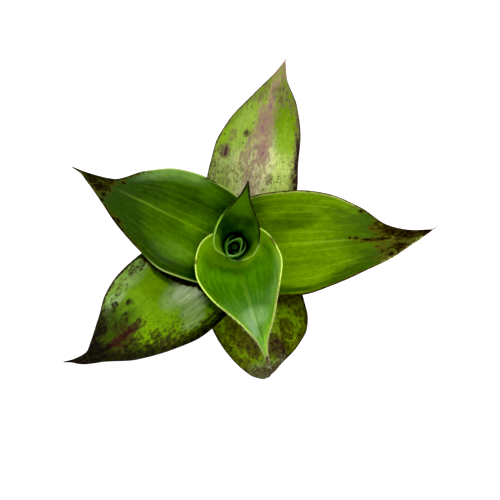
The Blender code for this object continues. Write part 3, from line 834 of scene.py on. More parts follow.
def paint_top(skin):
    """Pale leaf: fresh green on its left, yellow-green on its right, with a mauve midrib."""
    rib = most(streak(skin, 66, 84, 3.2, 6, 2.1, 0.8), streak(skin, 55, 71, 7.5, 8, 2.8, 0.8),
               streak(skin, 44, 60, 5.5, 10, 0.6, 0.8), streak(skin, 24, 46, 4, 12, 1.0, 0.44),
               spots(skin, (52.3, 6.7, 10, 4.5, 0.52), (52.3, 3.7, 3, 2.6, 0.7),
                     (37.9, 4.8, 10, 4, 0.52), (46, 8, 8, 5, 0.5)))
    stain = most(rib, spots(skin, (47.0, 17.9, 8, 4.8, 1), (57.5, 9.8, 3.6, 3.2, 0.7),
                            (55.4, 16.3, 6, 3.4, 0.5), (74, 7.4, 3.6, 2.8, 0.62),
                            (77, 5.3, 4.5, 3.5, 0.52), (79.8, -1.7, 7, 4.4, 0.6),
                            (75.9, -1.8, 3.4, 2.6, 0.85), (38.6, 9.5, 9, 6, 0.4),
                            (35, 13.9, 9, 7, 0.4), (39, -5.6, 5, 3, 0.5),
                            (79, 0.5, 6, 4, 0.66)),
                 0.12 + 0.36 * past(skin, 62, 77) + 0.1 * past(skin, 54, 42),
                 border(skin, 0.6),
                 border(skin, 1.8, -1, 14, 74), 1.4 * border(skin, 2.0, -1, 14, 62),
                 1.4 * border(skin, 3.0, -1, 14, 45, 6), border(skin, 0.8, 1, 14, 62),
                 border(skin, 4.4, 1, 14, 46, full=0.38), 0.45 * past(skin, 82, 88))
    mauve = most(ramp(rib, 0.25, 0.45), past(skin, 82, 88), 0.15 * glow(skin, 47, 18, 9, 5))
    mauve = mauve * (1 - 0.8 * glow(skin, 79, 0, 5, 3.5))
    tone = 0.5 + sum(patches(skin, (0.45, 40, -10, 30, 16), (-0.5, 67, -8, 24, 11),
                             (0.45, 36, 2, 28, 14)))
    tone = tone - 0.4 * ramp(skin.edge, 5, 1) * past(skin, 50, 66)
    cream = most(*patches(skin, (0.9, 38, 1, 30, 10), (0.12, 58, 12, 20, 8),
                          (0.36, 40, 13, 14, 8), (0.34, 38, 20, 10, 4)))
    freckles = 0.3 + 0.4 * past(skin, 66, 44) + 0.3 * ramp(skin.edge, 6, 2) * past(skin, 80, 60)
    return stain, mauve, tone, cream, 0.0, 0.2, freckles


def paint_lower_left(skin):
    """Olive leaf with a wax bloom that also carries a painted sheen, a maroon midrib, a near-black
    tip and lower edge, and a painted shadow where the leaves above cross it.
    """
    # Painted shadow of the leaves that lie over this one: darker tone in a band beyond the line
    # where this leaf passes under them, and a narrow near-black contact shadow laid as a stain, both
    # fading back to green further under
    hidden = np.interp(skin.across, [-21.7, -14.1, -5.5, 0.9, 4.7, 25],
                       [40.8, 39.2, 36.4, 32.5, 28.6, 27.6])
    reach = 0.5 + 4 * ramp(skin.across, -20, -8)
    shade = past(skin, hidden + reach, hidden - 0.5)
    shade = shade * past(skin, hidden - 14, hidden - 6)
    contact_shadow = past(skin, hidden + 1.4, hidden - 0.6) * past(skin, hidden - 9, hidden - 3)
    stain = most(1.2 * streak(skin, 60, 92, 3.5, 7, 0.9), past(skin, 74, 84), 0.9 * contact_shadow,
                 border(skin, 5.2, 1, 22, 70, 10), border(skin, 7.6, 1, 52, 200, 10),
                 border(skin, 10, 1, 48, 200, 10, 0.36),
                 border(skin, 1.0, -1), border(skin, 6, -1, 70, 200, 8),
                 border(skin, 3, -1, 20, 68, 8, 0.26),
                 spots(skin, (62.9, -12.9, 3.4, 3, 0.66), (65.3, -11.3, 2.4, 2, 0.55),
                       (56.8, -9.5, 3.8, 3.2, 0.5), (62.9, -5.8, 5.4, 3, 0.54),
                       (57.1, -16.7, 8, 3.6, 0.4), (45.1, -19.9, 9, 4, 0.46),
                       (75.8, -7.1, 7, 5, 0.9), (57.9, 10.3, 5, 4, 0.54),
                       (47.9, 17, 5, 2.6, 0.5), (62.6, 13.4, 7, 5, 0.56),
                       (71.9, 5.5, 15, 8, 0.6), (68, -4, 9, 5, 0.5)), 0.15)
    mauve = most(ramp(streak(skin, 50, 76, 7, 8, 0.9), 0.3, 0.6), glow(skin, 52, -19, 16, 7),
                 0.5 * glow(skin, 52, 15, 12, 6))
    tone = 0.4 - 0.6 * past(skin, 62, 80) - shade
    tone = tone + sum(patches(skin, (0.2, 46, -7, 26, 12), (0.08, 56, 6, 16, 8),
                              (-0.4, 64, -8, 14, 10), (0.25, 42, 16, 12, 6)))
    # Wax bloom near the foot, which is also a painted sheen, brightest beside the painted shadow and
    # dimmed under the contact shadow
    bloom = most(glow(skin, 33, 3.5, 12, 8)**1.3, 0.24 * border(skin, 3.5, -1, 26, 66, 8),
                 *patches(skin, (0.36, 35, 2, 15, 8), (0.46, 36, 11, 9, 6),
                          (0.24, 49, -18, 10, 5), (0.34, 40, 16, 8, 5), (0.26, 43, -20, 10, 5),
                          (0.35, 61, -15, 8, 3.5)))
    freckles = 0.15 + 0.6 * ramp(skin.edge, 9, 3) * ramp(skin.across, -4, 8)
    return stain, mauve, tone, bloom * (1 - 0.8 * contact_shadow), 0.0, 0.3, freckles


def paint_right(skin):
    """Bright green leaf with long pale veins and a brown-blotched tip."""
    stain = most(streak(skin, 62, 77, 1.8, 4, -0.4, 0.9), 0.1 + 0.42 * past(skin, 62, 73),
                 spots(skin, (76.1, 2.6, 11, 5, 1), (83, 0.6, 15, 6, 1),
                       (91, 0.3, 14, 5, 1), (79.2, -4.7, 8, 4.6, 1), (63.3, 12.9, 2, 1.8, 0.9),
                       (69.7, 6.4, 2.4, 1.8, 0.9), (73.5, 4.7, 2.4, 2, 0.9),
                       (71.3, -5.5, 2.2, 1.8, 0.8), (75.1, -7.9, 3, 2.4, 0.9),
                       (78.2, -6.9, 2.2, 1.8, 0.9), (57.3, 0.9, 1.8, 1.2, 0.9),
                       (60, 0.7, 2.6, 1.6, 0.9), (69, 4.7, 6, 3, 0.6)),
                 border(skin, 0.7, -1, 20, 68), border(skin, 0.4, 1, 10, 66, 1, 0.8),
                 border(skin, 0.7, 1, 62), border(skin, 1.6, 1, 70, 200, 4),
                 past(skin, 90, 94))
    tone = 0.48 + 0.02 * ramp(-skin.across, -1, 9) - 0.15 * ramp(skin.across, 8, 22)
    tone = tone - 0.15 * past(skin, 30, 12) - 0.2 * past(skin, 30, 56)
    tone = tone - 0.3 * past(skin, 46, 84)
    # Darker along the right margin towards the foot: painted shade beside the front leaf
    tone = tone - 0.9 * ramp(-skin.across, 17, 25) * past(skin, 52, 34)
    tone = tone + 0.3 * ramp(skin.edge, 7, 2) * ramp(skin.s, 0, 0.3) * past(skin, 66, 56)
    tone = tone - 0.3 * ramp(skin.edge, 8, 3) * ramp(-skin.s, 0, 0.3) * past(skin, 42, 52)
    tone = tone - 0.3 * glow(skin, 33, 11, 14, 6)
    pale = most(ramp(skin.s, -0.2, 0.5) * past(skin, 68, 58),
                0.8 * ramp(-skin.s, 0.2, 0.6) * past(skin, 68, 74))
    veins = 0.8 - 0.65 * past(skin, 44, 66)
    return stain, 0.2, tone, 0.0, pale, veins, 0.7 * past(skin, 66, 78)


def paint_left(skin):
    """Dark green leaf with a pale midrib, a pale edge and dark specks near its tip."""
    stain = most(spots(skin, (77.4, 0.7, 11, 5, 1), (73.4, 2.4, 8, 5, 1),
                       (70.4, 1.7, 6, 4, 1), (69.9, 4.8, 3, 2.6, 0.9),
                       (69.7, 7.4, 2.6, 2, 0.9), (71.7, -1.7, 10, 3.2, 0.85),
                       (64.3, -4, 2.6, 2, 0.9), (60.3, 12.6, 6, 2.6, 0.9)),
                 border(skin, 1.2, 1, 46, 68, 4), border(skin, 1.4, -1, 60), past(skin, 81, 86),
                 border(skin, 0.5, -1, 28.5, 34, 1.5, 0.8), 0.1 + 0.42 * past(skin, 64, 74))
    # Painted sheen along the right margin between about 28 mm and 66 mm, which lightens the tone and
    # is laid through the bloom
    painted_margin_sheen = ramp(skin.edge, 8, 2) * ramp(-skin.s, 0.4, 0.7)
    painted_margin_sheen = painted_margin_sheen * past(skin, 66, 56) * past(skin, 28, 38)
    tone = 0.2 + 0.5 * painted_margin_sheen - 0.34 * ramp(skin.edge, 9, 4) * ramp(skin.s, 0, 0.4)
    # Darker towards the tip, and over the left half towards the tip also a painted shade
    tone = tone - 0.3 * past(skin, 50, 62) - 0.4 * past(skin, 42, 58) * ramp(skin.across, 2, 9)
    # Of these patches, the ones at 27 mm and 44 mm near the margins are painted sheen, and the ones
    # at 24 mm and 26 mm near the foot are painted light against the shade there
    tone = tone + sum(patches(skin, (0.12, 42, 5, 34, 10), (0.42, 27, 13, 16, 7),
                              (0.3, 26, -17, 8, 7), (0.4, 24, 1, 12, 10), (-0.2, 54, -6, 14, 6),
                              (0.14, 44, -17, 24, 7)))
    pale = most(ramp(-skin.s, -0.2, 0.5) * past(skin, 62, 52), past(skin, 44, 34))
    veins = 0.8 * past(skin, 70, 48)
    bloom = most(0.08 * glow(skin, 30, 15, 16, 8), 0.36 * painted_margin_sheen)
    return stain, 0.2, tone, bloom, 0.8 * pale, veins, 0.7 * past(skin, 64, 76)


def paint_front(skin):
    """Fresh young leaf with fanned veins and a bright edge that is brown outermost."""
    notch = most(border(skin, 1.1, 1, 18.3, 21.5, 1.5), border(skin, 1.2, -1, 20.8, 21.8, 0.7))
    end = past(skin, 60, 63.5)
    stain = most(notch, end, 0.06, border(skin, 0.4, 0, 36, 66, 8, 0.58))
    # Lighter towards the foot: the leaf's own yellow-green there, and painted light against the
    # shadow of the cup above, most of all within 16 mm of the foot
    tone = 0.06 + 0.62 * past(skin, 32, 13) + 0.2 * past(skin, 52, 60)
    tone = tone + 0.5 * past(skin, 16, 10)
    tone = tone + 0.25 * ramp(skin.edge, 6, 2) + 0.35 * ramp(skin.edge, 9, 2) * ramp(skin.s, 0, 0.5)
    # Painted highlight across the middle near 43 mm, and painted sheen inside the left margin, both
    # laid through the bloom
    painted_edge_sheen = ramp(skin.edge, 11, 1) * ramp(skin.s, 0.1, 0.6) * past(skin, 17, 27)
    bloom = most(0.44 * glow(skin, 43.5, 0.5, 6, 9), 0.3 * painted_edge_sheen * past(skin, 48, 34))
    rim = 1 - 0.8 * past(skin, 44, 57)
    return stain, most(ramp(notch, 0.2, 0.4), end), tone, bloom, rim, 0.7, 0.0


def paint_upright(skin):
    """Dark cupped leaf with painted shade inside the cup, greener to its tip and its foot, with a
    thin purple edge at the top.
    """
    stain = most(border(skin, 0.7, 1, 41, 200, 3), border(skin, 0.7, -1, 30, 200, 3),
                 spots(skin, (15.6, -20.4, 4.5, 2.6, 1)), past(skin, 61, 64), 0.06)
    tone = 0.46 - 0.22 * past(skin, 34, 52)
    # Painted shade inside the cup, on its walls and round its floor
    tone = tone - sum(patches(skin, (0.3, 25, 6, 16, 8), (0.18, 37, -5, 14, 6),
                              (0.22, 27, -3, 9, 6)))
    # Lighter towards the sides of the foot: painted light against the shade deep in the cup, with
    # the pale colour raised for it
    tone = tone + 0.9 * past(skin, 28, 18) * ramp(abs(skin.s), 0.35, 0.8)
    pale = most(past(skin, 32, 25), past(skin, 44, 38) * ramp(skin.s, 0, 0.1))
    return stain, 0.3, tone, 0.0, pale, 0.3, 0.0


def paint_heart(skin):
    """Rolled heart leaf, dark below, with a light rim towards its tip."""
    deep = ramp(skin.t, 0.68, 0.4)
    rim = (0.3 + 0.7 * ramp(skin.s, -0.2, 0.6)) * (1 - 0.85 * deep)
    return 0.05, 0.0, 0.6 - 0.6 * deep, 0.0, rim, 0.3, 0.0


HEART_GREENS = ("#3C6C14", "#4A8020", "#6CA038", "#6EA040", "#2A1A10", "#2A1A10", "#2E3A0C")

# Slot, painter and colours of each leaf, from the oldest to the youngest; the bloom colour of leaves
# 1, 3, 5 and 6 is also that of their painted sheen, and on leaf 6 that of its painted highlight
LOOKS = {
    "leaf_1_bottom": ("leaf_mottled", paint_bottom, Greens(
        "#3E540A", "#628212", "#7A9618", "#7C9018", "#241E0A", "#32201C", "#565012",
        bloom="#8A8672", under="#6E7B4A", ragged=1.5, blotch=1.8, weak=0.4, sharp=0.36, stretch=1,
        shine=0.05)),
    "leaf_2_top": ("leaf_pale", paint_top, Greens(
        "#688A04", "#82A424", "#BCCC6C", "#C6D68A", "#30201E", "#8C6269", "#9A9258",
        bloom="#D4C8A8", under="#A8B878", ragged=1.35, blotch=1.2, weak=0.5, sharp=0.42,
        stretch=0.5, rib_show=0.0, vein_show=0.15)),
    "leaf_3_lower_left": ("leaf_olive", paint_lower_left, Greens(
        "#2E4604", "#628A06", "#7EA40C", "#94AC30", "#171310", "#321A16", "#4A4A10",
        bloom="#C0D0A4", under="#7C8A5A", ragged=1.4, blotch=1.5, weak=0.8, rib_show=0.2,
        vein_show=0.3)),
    "leaf_4_right": ("leaf_green", paint_right, Greens(
        "#324F02", "#628604", "#82A40A", "#98B828", "#0E0A04", "#2A1208", "#76680E",
        rim="#B4C060", under="#86A45A", ragged=1.4, blotch=1.1, weak=0.8, vein_show=0.3,
        rib_show=0.5, rim_width=1.6, stretch=0.45)),
    "leaf_5_left": ("leaf_green", paint_left, Greens(
        "#223C04", "#3E6204", "#629010", "#7C9E26", "#0C0A04", "#24100A", "#666814",
        bloom="#84A068", rim="#98B058", under="#7E9A54", ragged=1.4, blotch=1.1, weak=0.8,
        vein_show=0.15, rib_show=0.45, rim_width=0.95)),
    "leaf_6_front": ("leaf_young", paint_front, Greens(
        "#3A6C0A", "#528808", "#88B810", "#90B83E", "#8C7C54", "#4A2410", "#8AA030",
        bloom="#A2C87C", rim="#C8E65C", under="#8CB060", gloss=0.31, shine=0.42, vein_show=0.3,
        rib_show=0.25, rim_width=1.5)),
    "leaf_7_upright": ("leaf_young", paint_upright, Greens(
        "#2A4408", "#4A720E", "#86B828", "#5E8424", "#12080C", "#1A0A10", "#2E3A0C",
        rim="#88B43C", under="#6C9440", vein_show=0.2, rib_show=0.25, rim_width=0.5)),
    "leaf_8_heart": ("leaf_young", paint_heart, Greens(
        *HEART_GREENS, rim="#7CA658", under="#5C8C3C", vein_show=0.2, rim_width=0.5)),
    "leaf_9_heart": ("leaf_young", paint_heart, Greens(
        *HEART_GREENS, rim="#6C9448", under="#5C8C3C", vein_show=0.2, rim_width=0.4)),
}


def make_leaves():
    """All open leaves, from the oldest to the youngest, each with its bristle and hairs."""
    hair = hair_finish()
    for seed, (name, (slot, paint, greens)) in enumerate(LOOKS.items(), start=1):
        skin = Skin(LEAVES[name])
        make_leaf(name, skin, slot, greens, seed, paint)
        make_hairs(name, skin, slot, hair)


# Pot, soil, stem and bud

def even_path(corners, spacing):
    """Points at an even spacing along an outline of (radius, height, rounding) corners in mm."""
    path = []
    for i, (radius, height, rounding) in enumerate(corners):
        corner = np.array([radius, height], float)
        if rounding == 0:
            path.append(corner)
            continue
        back = unit(np.array(corners[i - 1][:2]) - corner)
        ahead = unit(np.array(corners[i + 1][:2]) - corner)
        half = math.acos(back @ ahead) / 2
        centre = corner + unit(back + ahead) * rounding / math.sin(half)
        start = corner + back * rounding / math.tan(half) - centre
        end = corner + ahead * rounding / math.tan(half) - centre
        for share in np.linspace(0, 1, ARC_POINTS):
            path.append(centre + unit(start * (1 - share) + end * share) * rounding)
    path = np.array(path)
    along = walked(path)
    where = np.linspace(0, along[-1], int(along[-1] / spacing) + 1)
    return np.stack([np.interp(where, along, path[:, k]) for k in (0, 1)], axis=1)


def turned_mesh(name, path, steps, push):
    """Closed mesh turned about Z from a path that starts and ends on the axis.

    push(place, turn) moves each point out along the path's own normal, in mm.
    """
    slope = np.gradient(path, axis=0)
    normal = unit(np.stack([slope[:, 1], -slope[:, 0]], axis=1))
    points = []
    for place, out in zip(path, normal):
        for i in range(steps):
            turn = math.tau * i / steps
            moved = place + out * push(place, turn) if place[0] > 0 else place
            points.append((moved[0] * math.cos(turn), moved[0] * math.sin(turn), moved[1]))
    ids = np.arange(len(points)).reshape(len(path), steps)
    beside = np.roll(ids, -1, axis=1)
    quads = np.stack([ids[:-1], beside[:-1], beside[1:], ids[1:]], axis=-1)
    return closed_mesh(name, points, quads.reshape(-1, 4).tolist(), merge=True)


def waves_of_noise(place, *layers):
    """Sum of layers of noise at a place in mm, each (size in mm, amount in mm)."""
    return sum(amount * noise.noise(Vector(place) / size) for size, amount in layers)


def pot_bore(height):
    """Inner radius of the pot at a height."""
    rim = POT_RIM_RADIUS - POT_BAND_STEP - POT_WALL
    base = POT_BASE_RADIUS - POT_WALL
    return base + (rim - base) * (height - POT_FLOOR) / (POT_HEIGHT - POT_FLOOR)


def make_pot():
    """Thrown pot: rim band, tapered wall with throwing lines, and a floor with drain holes."""
    foot = POT_HEIGHT - POT_BAND_HEIGHT
    wall_top = POT_RIM_RADIUS - POT_BAND_STEP
    corners = [
        (0, 0, 0), (POT_BASE_RADIUS, 0, POT_EDGE),
        (wall_top - POT_BAND_TAPER, foot - POT_BAND_UNDERCUT, 0.5),
        (POT_RIM_RADIUS - POT_BAND_TAPER, foot, POT_EDGE),
        (POT_RIM_RADIUS, POT_HEIGHT, POT_ROUNDING), (pot_bore(POT_HEIGHT), POT_HEIGHT, POT_ROUNDING),
        (pot_bore(POT_FLOOR), POT_FLOOR, POT_EDGE), (0, POT_FLOOR, 0)]

    def push(place, turn):
        radius, height = place
        spot = (radius * math.cos(turn), radius * math.sin(turn), height)
        line = math.sin(math.tau * height / THROWING_LINES + turn
                        + 1.5 * noise.noise(Vector((math.cos(turn), math.sin(turn), height / 12))))
        on_wall = float(ramp(height, 1.5, 6))
        free = float(ramp(height, 0.1, 1.5))
        rough = waves_of_noise(spot, (22, 0.3), (3, 0.07), (0.9, 0.04))
        return THROWING_DEPTH * line * on_wall + free * rough

    mesh = turned_mesh("pot", even_path(corners, spacing=0.6), POT_STEPS, push)
    bore_drains(add_piece("pot_shell", mesh, clay_finish(), "clay", "pot"))


def bore_drains(pot):
    """Bore the drain holes through the pot's floor."""
    cutters = []
    for i in range(DRAIN_HOLES):
        angle = math.tau * i / DRAIN_HOLES + DRAIN_TURN
        form = bmesh.new()
        bmesh.ops.create_cone(form, cap_ends=True, segments=DRAIN_SIDES, radius1=DRAIN_RADIUS * MM,
                              radius2=DRAIN_RADIUS * MM, depth=POT_FLOOR * 2 * MM)
        place = (DRAIN_CIRCLE * MM * math.cos(angle), DRAIN_CIRCLE * MM * math.sin(angle),
                 POT_FLOOR / 2 * MM)
        cutters.append(put("drain_drill", mesh_of(form, "drain_drill"), place))
        pot.modifiers.new("drain", "BOOLEAN").object = cutters[-1]
    pot.data = bpy.data.meshes.new_from_object(
        pot.evaluated_get(bpy.context.evaluated_depsgraph_get()))
    pot.modifiers.clear()
    for cutter in cutters:
        bpy.data.objects.remove(cutter)
    # Each side of a bored hole gets a point at its middle, so that no two of its edges coincide
    form = bmesh.new()
    form.from_mesh(pot.data)
    bmesh.ops.remove_doubles(form, verts=form.verts, dist=MERGE * MM)
    bored = [face for face in form.faces if len(face.verts) > 4 and abs(face.normal.z) < 0.3]
    bmesh.ops.poke(form, faces=bored)
    form.to_mesh(pot.data)
    form.free()
    pot.data.set_sharp_from_angle(angle=SHARP_EDGE)


def soil_height(x, y):
    """Height of the soil's lumpy top in mm."""
    lump = SOIL_LUMP * noise.noise(Vector((x, y, SOIL_TOP)) / SOIL_LUMP_WIDTH)
    return SOIL_TOP + lump + waves_of_noise((x, y, 0), (3.1, 0.7), (1.3, 0.35), (0.6, 0.2))


def lumps_mesh(name, count, sizes, shape, sink, seed):
    """Broken lumps pressed into the top of the soil, each a closed form, in one mesh."""
    draw = np.random.default_rng(seed)
    form = bmesh.new()
    bmesh.ops.create_icosphere(form, subdivisions=2, radius=1)
    ball = np.array([vert.co for vert in form.verts])
    ball_faces = [[vert.index for vert in face.verts] for face in form.faces]
    form.free()
    points = []
    faces = []
    inner = stem_radius(LEAVES["leaf_1_bottom"]) + LUMP_CLEARANCE
    for _ in range(count):
        size = draw.uniform(*sizes) / 2
        outer = pot_bore(SOIL_TOP) - CLEARANCE - size * 1.3
        radius = math.sqrt(draw.uniform(inner**2, outer**2))
        angle = draw.uniform(0, math.tau)
        x = radius * math.cos(angle)
        y = radius * math.sin(angle)
        lump = ball * (size * np.array(shape) * draw.uniform(0.75, 1.25, 3))
        lump = lump * draw.uniform(0.78, 1.15, len(ball))[:, None]
        turn = Euler((*draw.normal(0, 0.3, 2), draw.uniform(0, math.tau))).to_matrix()
        lump = lump @ np.array(turn).T
        lump = lump + [x, y, soil_height(x, y) + size * shape[2] * (1 - sink)]
        faces += [[i + len(points) for i in face] for face in ball_faces]
        points += lump.tolist()
    return closed_mesh(name, points, faces)


def make_soil():
    """Potting mix: lumpy filling with crumbs, bark and perlite pressed into its top."""
    hole = stem_radius(LEAVES["leaf_1_bottom"]) - STEM_WAIST + CLEARANCE
    foot = POT_FLOOR + CLEARANCE
    corners = [(0, foot, 0), (pot_bore(foot + POT_EDGE) - CLEARANCE, foot, POT_EDGE),
               (pot_bore(SOIL_TOP) - CLEARANCE, SOIL_TOP, SOIL_ROUNDING),
               (hole, SOIL_TOP, SOIL_ROUNDING), (hole, HOLE_BOTTOM, SOIL_ROUNDING),
               (0, HOLE_BOTTOM, 0)]

    def push(place, turn):
        radius, height = place
        if height < SOIL_TOP - 0.05:
            return 0
        return SOIL_TOP - soil_height(radius * math.cos(turn), radius * math.sin(turn))

    soil = turned_mesh("soil", even_path(corners, spacing=0.45), SOIL_STEPS, push)
    mix = soil_finish("peat_mix", "#1E150E", "#3A2A1C", "#5E4830")
    add_piece("soil_filling", soil, mix, "soil", "soil")
    add_piece("soil_crumbs", lumps_mesh("crumbs", 520, (0.9, 3.0), (1, 0.85, 0.7), 0.45, 3), mix,
              "soil")
    add_piece("soil_bark", lumps_mesh("bark", 34, (3.0, 5.5), (1, 0.5, 0.22), 0.3, 4),
              soil_finish("pine_bark", "#3A2214", "#6A4226", "#8C6240"), "soil")
    add_piece("soil_perlite", lumps_mesh("perlite", 70, (0.8, 2.1), (1, 0.9, 0.8), 0.3, 5),
              soil_finish("perlite", "#B8B2A4", "#E2DED4", "#F2F0EA"), "soil")


def stem_radius(leaf):
    """Radius of the stem's ring inside a leaf's sheath."""
    columns = CAD_HEART_COLUMNS if leaf.blade == HEART_BLADE else CAD_COLUMNS
    return (leaf.sheath - leaf.blade / 2) * math.cos(math.pi / columns) - CLEARANCE


def make_stem():
    """Short green stem, ribbed with fibres, with a ring where each leaf is borne."""
    bottom = HOLE_BOTTOM + CLEARANCE
    waist = stem_radius(LEAVES["leaf_1_bottom"]) - STEM_WAIST
    corners = [(0, bottom, 0), (waist - STEM_WAIST, bottom, STEM_ROUNDING),
               (waist, bottom + STEM_FOOT, 0.5)]
    for leaf in LEAVES.values():
        ring = stem_radius(leaf)
        waist = ring - STEM_WAIST
        corners += [(radius, leaf.node + rise, STEM_ROUNDING) for radius, rise in (
            (waist, -STEM_RING_SLOPE), (ring, 0), (ring, STEM_RING),
            (waist, STEM_RING + STEM_RING_SLOPE))]
    top = BUD_BASE - CLEARANCE
    corners += [(waist, top, STEM_ROUNDING), (0, top, 0)]

    def push(place, turn):
        radius, height = place
        spot = (radius * math.cos(turn), radius * math.sin(turn), height / 9)
        return waves_of_noise(spot, (0.8, 0.09), (2.5, 0.08)) - 0.06

    mesh = turned_mesh("stem", even_path(corners, spacing=0.4), STEM_STEPS, push)
    add_piece("stem_core", mesh, stem_finish(), "stem", "stem")


def make_bud():
    """Innermost leaf, still a tight pointed roll, with the line where its margin laps over."""
    shares = np.linspace(0, 1, BUD_ROWS)
    width = np.sin(math.pi * shares**BUD_LOW_BELLY)**BUD_FULLNESS
    width[[0, -1]] = 0
    path = np.stack([BUD_RADIUS * width, BUD_BASE + BUD_HEIGHT * (1 - shares)], axis=1)[::-1]

    def push(place, turn):
        share = (place[1] - BUD_BASE) / BUD_HEIGHT
        lap = (turn - BUD_TWIST * math.tau * share) % math.tau
        groove = math.exp(-(lap / 0.25)**2) + 0.5 * math.exp(-((lap - math.tau) / 0.08)**2)
        return -BUD_GROOVE * groove * place[0] / BUD_RADIUS - 0.02

    mesh = turned_mesh("bud", path, BUD_STEPS, push)
    add_piece("leaf_10_bud_roll", mesh, bud_finish(), "leaf_young", "leaf_10_bud")


def in_mm(tree):
    """Place on the piece in mm."""
    return add(tree, "Mapping", add(tree, "TexCoord").node.outputs["Object"],
               Scale=(1 / MM, 1 / MM, 1 / MM))


def clay_finish():
    """Earthenware, thrown and fired unglazed: dry, matt and gritty, with lime bloom."""
    material, tree, shader = new_finish("thrown_earthenware", IOR=1.5, Specular_IOR_Level=0.25)
    place = in_mm(tree)
    height = add(tree, "SeparateXYZ", place).node.outputs["Z"]
    cloud = add(tree, "TexNoise", place, Scale=1 / 18, Detail=4, Roughness=0.6)
    cloud = add(tree, "MapRange", cloud, 0.3, 0.7)
    clay = add(tree, "Mix", cloud, "#A4562F", "#C47A4E", **COLOURED)

    # Lines left by the fingers on the wheel, 1.3 mm apart
    drawn = add(tree, "Mapping", place, Scale=(0.03, 0.03, 1))
    lines = add(tree, "TexNoise", drawn, Scale=1 / 1.3, Detail=4, Roughness=0.65)
    shade = add(tree, "MapRange", lines, 0.25, 0.75, 0.86, 1.12)
    clay = add(tree, "Mix", 1.0, clay, shade, **SHADED)

    # Grog, crushed fired clay up to 0.7 mm
    grog = add(tree, "TexVoronoi", place, Scale=1 / 0.7)
    speck = add(tree, "MapRange", grog, 0.28, 0.12, 0.0, 0.45)
    clay = add(tree, "Mix", speck, clay, "#7E3F24", **COLOURED)

    # Lime bloom where water has dried, in patches below the band and near the foot
    bloom = add(tree, "TexNoise", place, Scale=1 / 11, Detail=7, Roughness=0.68)
    low = add(tree, "MapRange", height, 30.0, 2.0, 0.0, 0.16)
    bloom = add(tree, "Math", bloom, low, operation="ADD")
    bloom = add(tree, "MapRange", bloom, 0.55, 0.74, 0.0, 0.55, **SOFT)
    clay = add(tree, "Mix", bloom, clay, "#DCC9B6", **COLOURED)

    rough = add(tree, "MapRange", cloud, 0.0, 1.0, 0.8, 0.93)
    grit = add(tree, "TexNoise", place, Scale=1 / 0.5, Detail=3, Roughness=0.7)
    grit = add(tree, "Math", grit, 0.7, lines, **TIMES_PLUS)
    bump = add(tree, "Bump", Strength=0.5, Distance=0.00025, Height=grit)
    feed_named(tree, shader, Base_Color=clay, Roughness=rough, Normal=bump)
    return material


def soil_finish(name, dark, middle, light):
    """Potting mix in its three shades: dull, crumbly and shot with fine fibres."""
    material, tree, shader = new_finish(name, Roughness=0.95, Specular_IOR_Level=0.2)
    place = in_mm(tree)
    crumbs = add(tree, "TexNoise", place, Scale=1 / 2.2, Detail=6, Roughness=0.7)
    to_middle = add(tree, "MapRange", crumbs, 0.35, 0.55)
    colour = add(tree, "Mix", to_middle, dark, middle, **COLOURED)
    fibres = add(tree, "TexNoise", place, Scale=1 / 0.7, Detail=4, Roughness=0.75, Distortion=1.5)
    to_light = add(tree, "MapRange", fibres, 0.55, 0.72, 0.0, 0.8)
    colour = add(tree, "Mix", to_light, colour, light, **COLOURED)
    bump = add(tree, "Bump", Strength=0.8, Distance=0.0004, Height=fibres)
    feed_named(tree, shader, Base_Color=colour, Normal=bump)
    return material


def stem_finish():
    """Fleshy green stem, ribbed lengthwise, browner and drier where it enters the soil."""
    material, tree, shader = new_finish("fleshy_stem", IOR=1.42, Specular_IOR_Level=0.25,
                                        Subsurface_Weight=0.2, Subsurface_Scale=0.001)
    place = in_mm(tree)
    height = add(tree, "SeparateXYZ", place).node.outputs["Z"]
    drawn = add(tree, "Mapping", place, Scale=(1, 1, 0.12))
    fibres = add(tree, "TexNoise", drawn, Scale=1 / 0.7, Detail=4, Roughness=0.7)
    to_pale = add(tree, "MapRange", fibres, 0.3, 0.7)
    colour = add(tree, "Mix", to_pale, "#6C8234", "#A3B066", **COLOURED)
    spots = add(tree, "TexNoise", drawn, Scale=1 / 2.4, Detail=4, Roughness=0.6)
    dry = add(tree, "MapRange", height, 57.0, 49.0, 0.0, 0.35)
    dry = add(tree, "Math", spots, dry, operation="ADD")
    dry = add(tree, "MapRange", dry, 0.55, 0.75, 0.0, 0.85, **SOFT)
    colour = add(tree, "Mix", dry, colour, "#77552F", **COLOURED)
    rough = add(tree, "MapRange", dry, 0.0, 1.0, 0.42, 0.8)
    bump = add(tree, "Bump", Strength=0.5, Distance=0.0002, Height=fibres)
    feed_named(tree, shader, Base_Color=colour, Roughness=rough, Normal=bump)
    return material


def bud_finish():
    """Rolled young leaf: pale fine-lined green that darkens to its point."""
    material, tree, shader = new_finish("rolled_young_leaf", IOR=1.42, Specular_IOR_Level=0.2,
                                        Subsurface_Weight=0.2, Subsurface_Scale=0.001)
    place = in_mm(tree)
    height = add(tree, "SeparateXYZ", place).node.outputs["Z"]
    drawn = add(tree, "Mapping", place, Scale=(1, 1, 0.15))
    lines = add(tree, "TexNoise", drawn, Scale=1 / 0.35, Detail=3, Roughness=0.7)
    to_light = add(tree, "MapRange", lines, 0.3, 0.7)
    colour = add(tree, "Mix", to_light, "#35660F", "#6E9A2C", **COLOURED)
    point = add(tree, "MapRange", height, BUD_BASE + 2.0, BUD_BASE + BUD_HEIGHT - 0.8, 0.0, 0.9)
    colour = add(tree, "Mix", point, colour, "#20380C", **COLOURED)
    rough = add(tree, "MapRange", lines, 0.2, 0.8, 0.36, 0.5)
    bump = add(tree, "Bump", Strength=0.4, Distance=0.0001, Height=lines)
    feed_named(tree, shader, Base_Color=colour, Roughness=rough, Normal=bump)
    return material


# Hairs and bristles

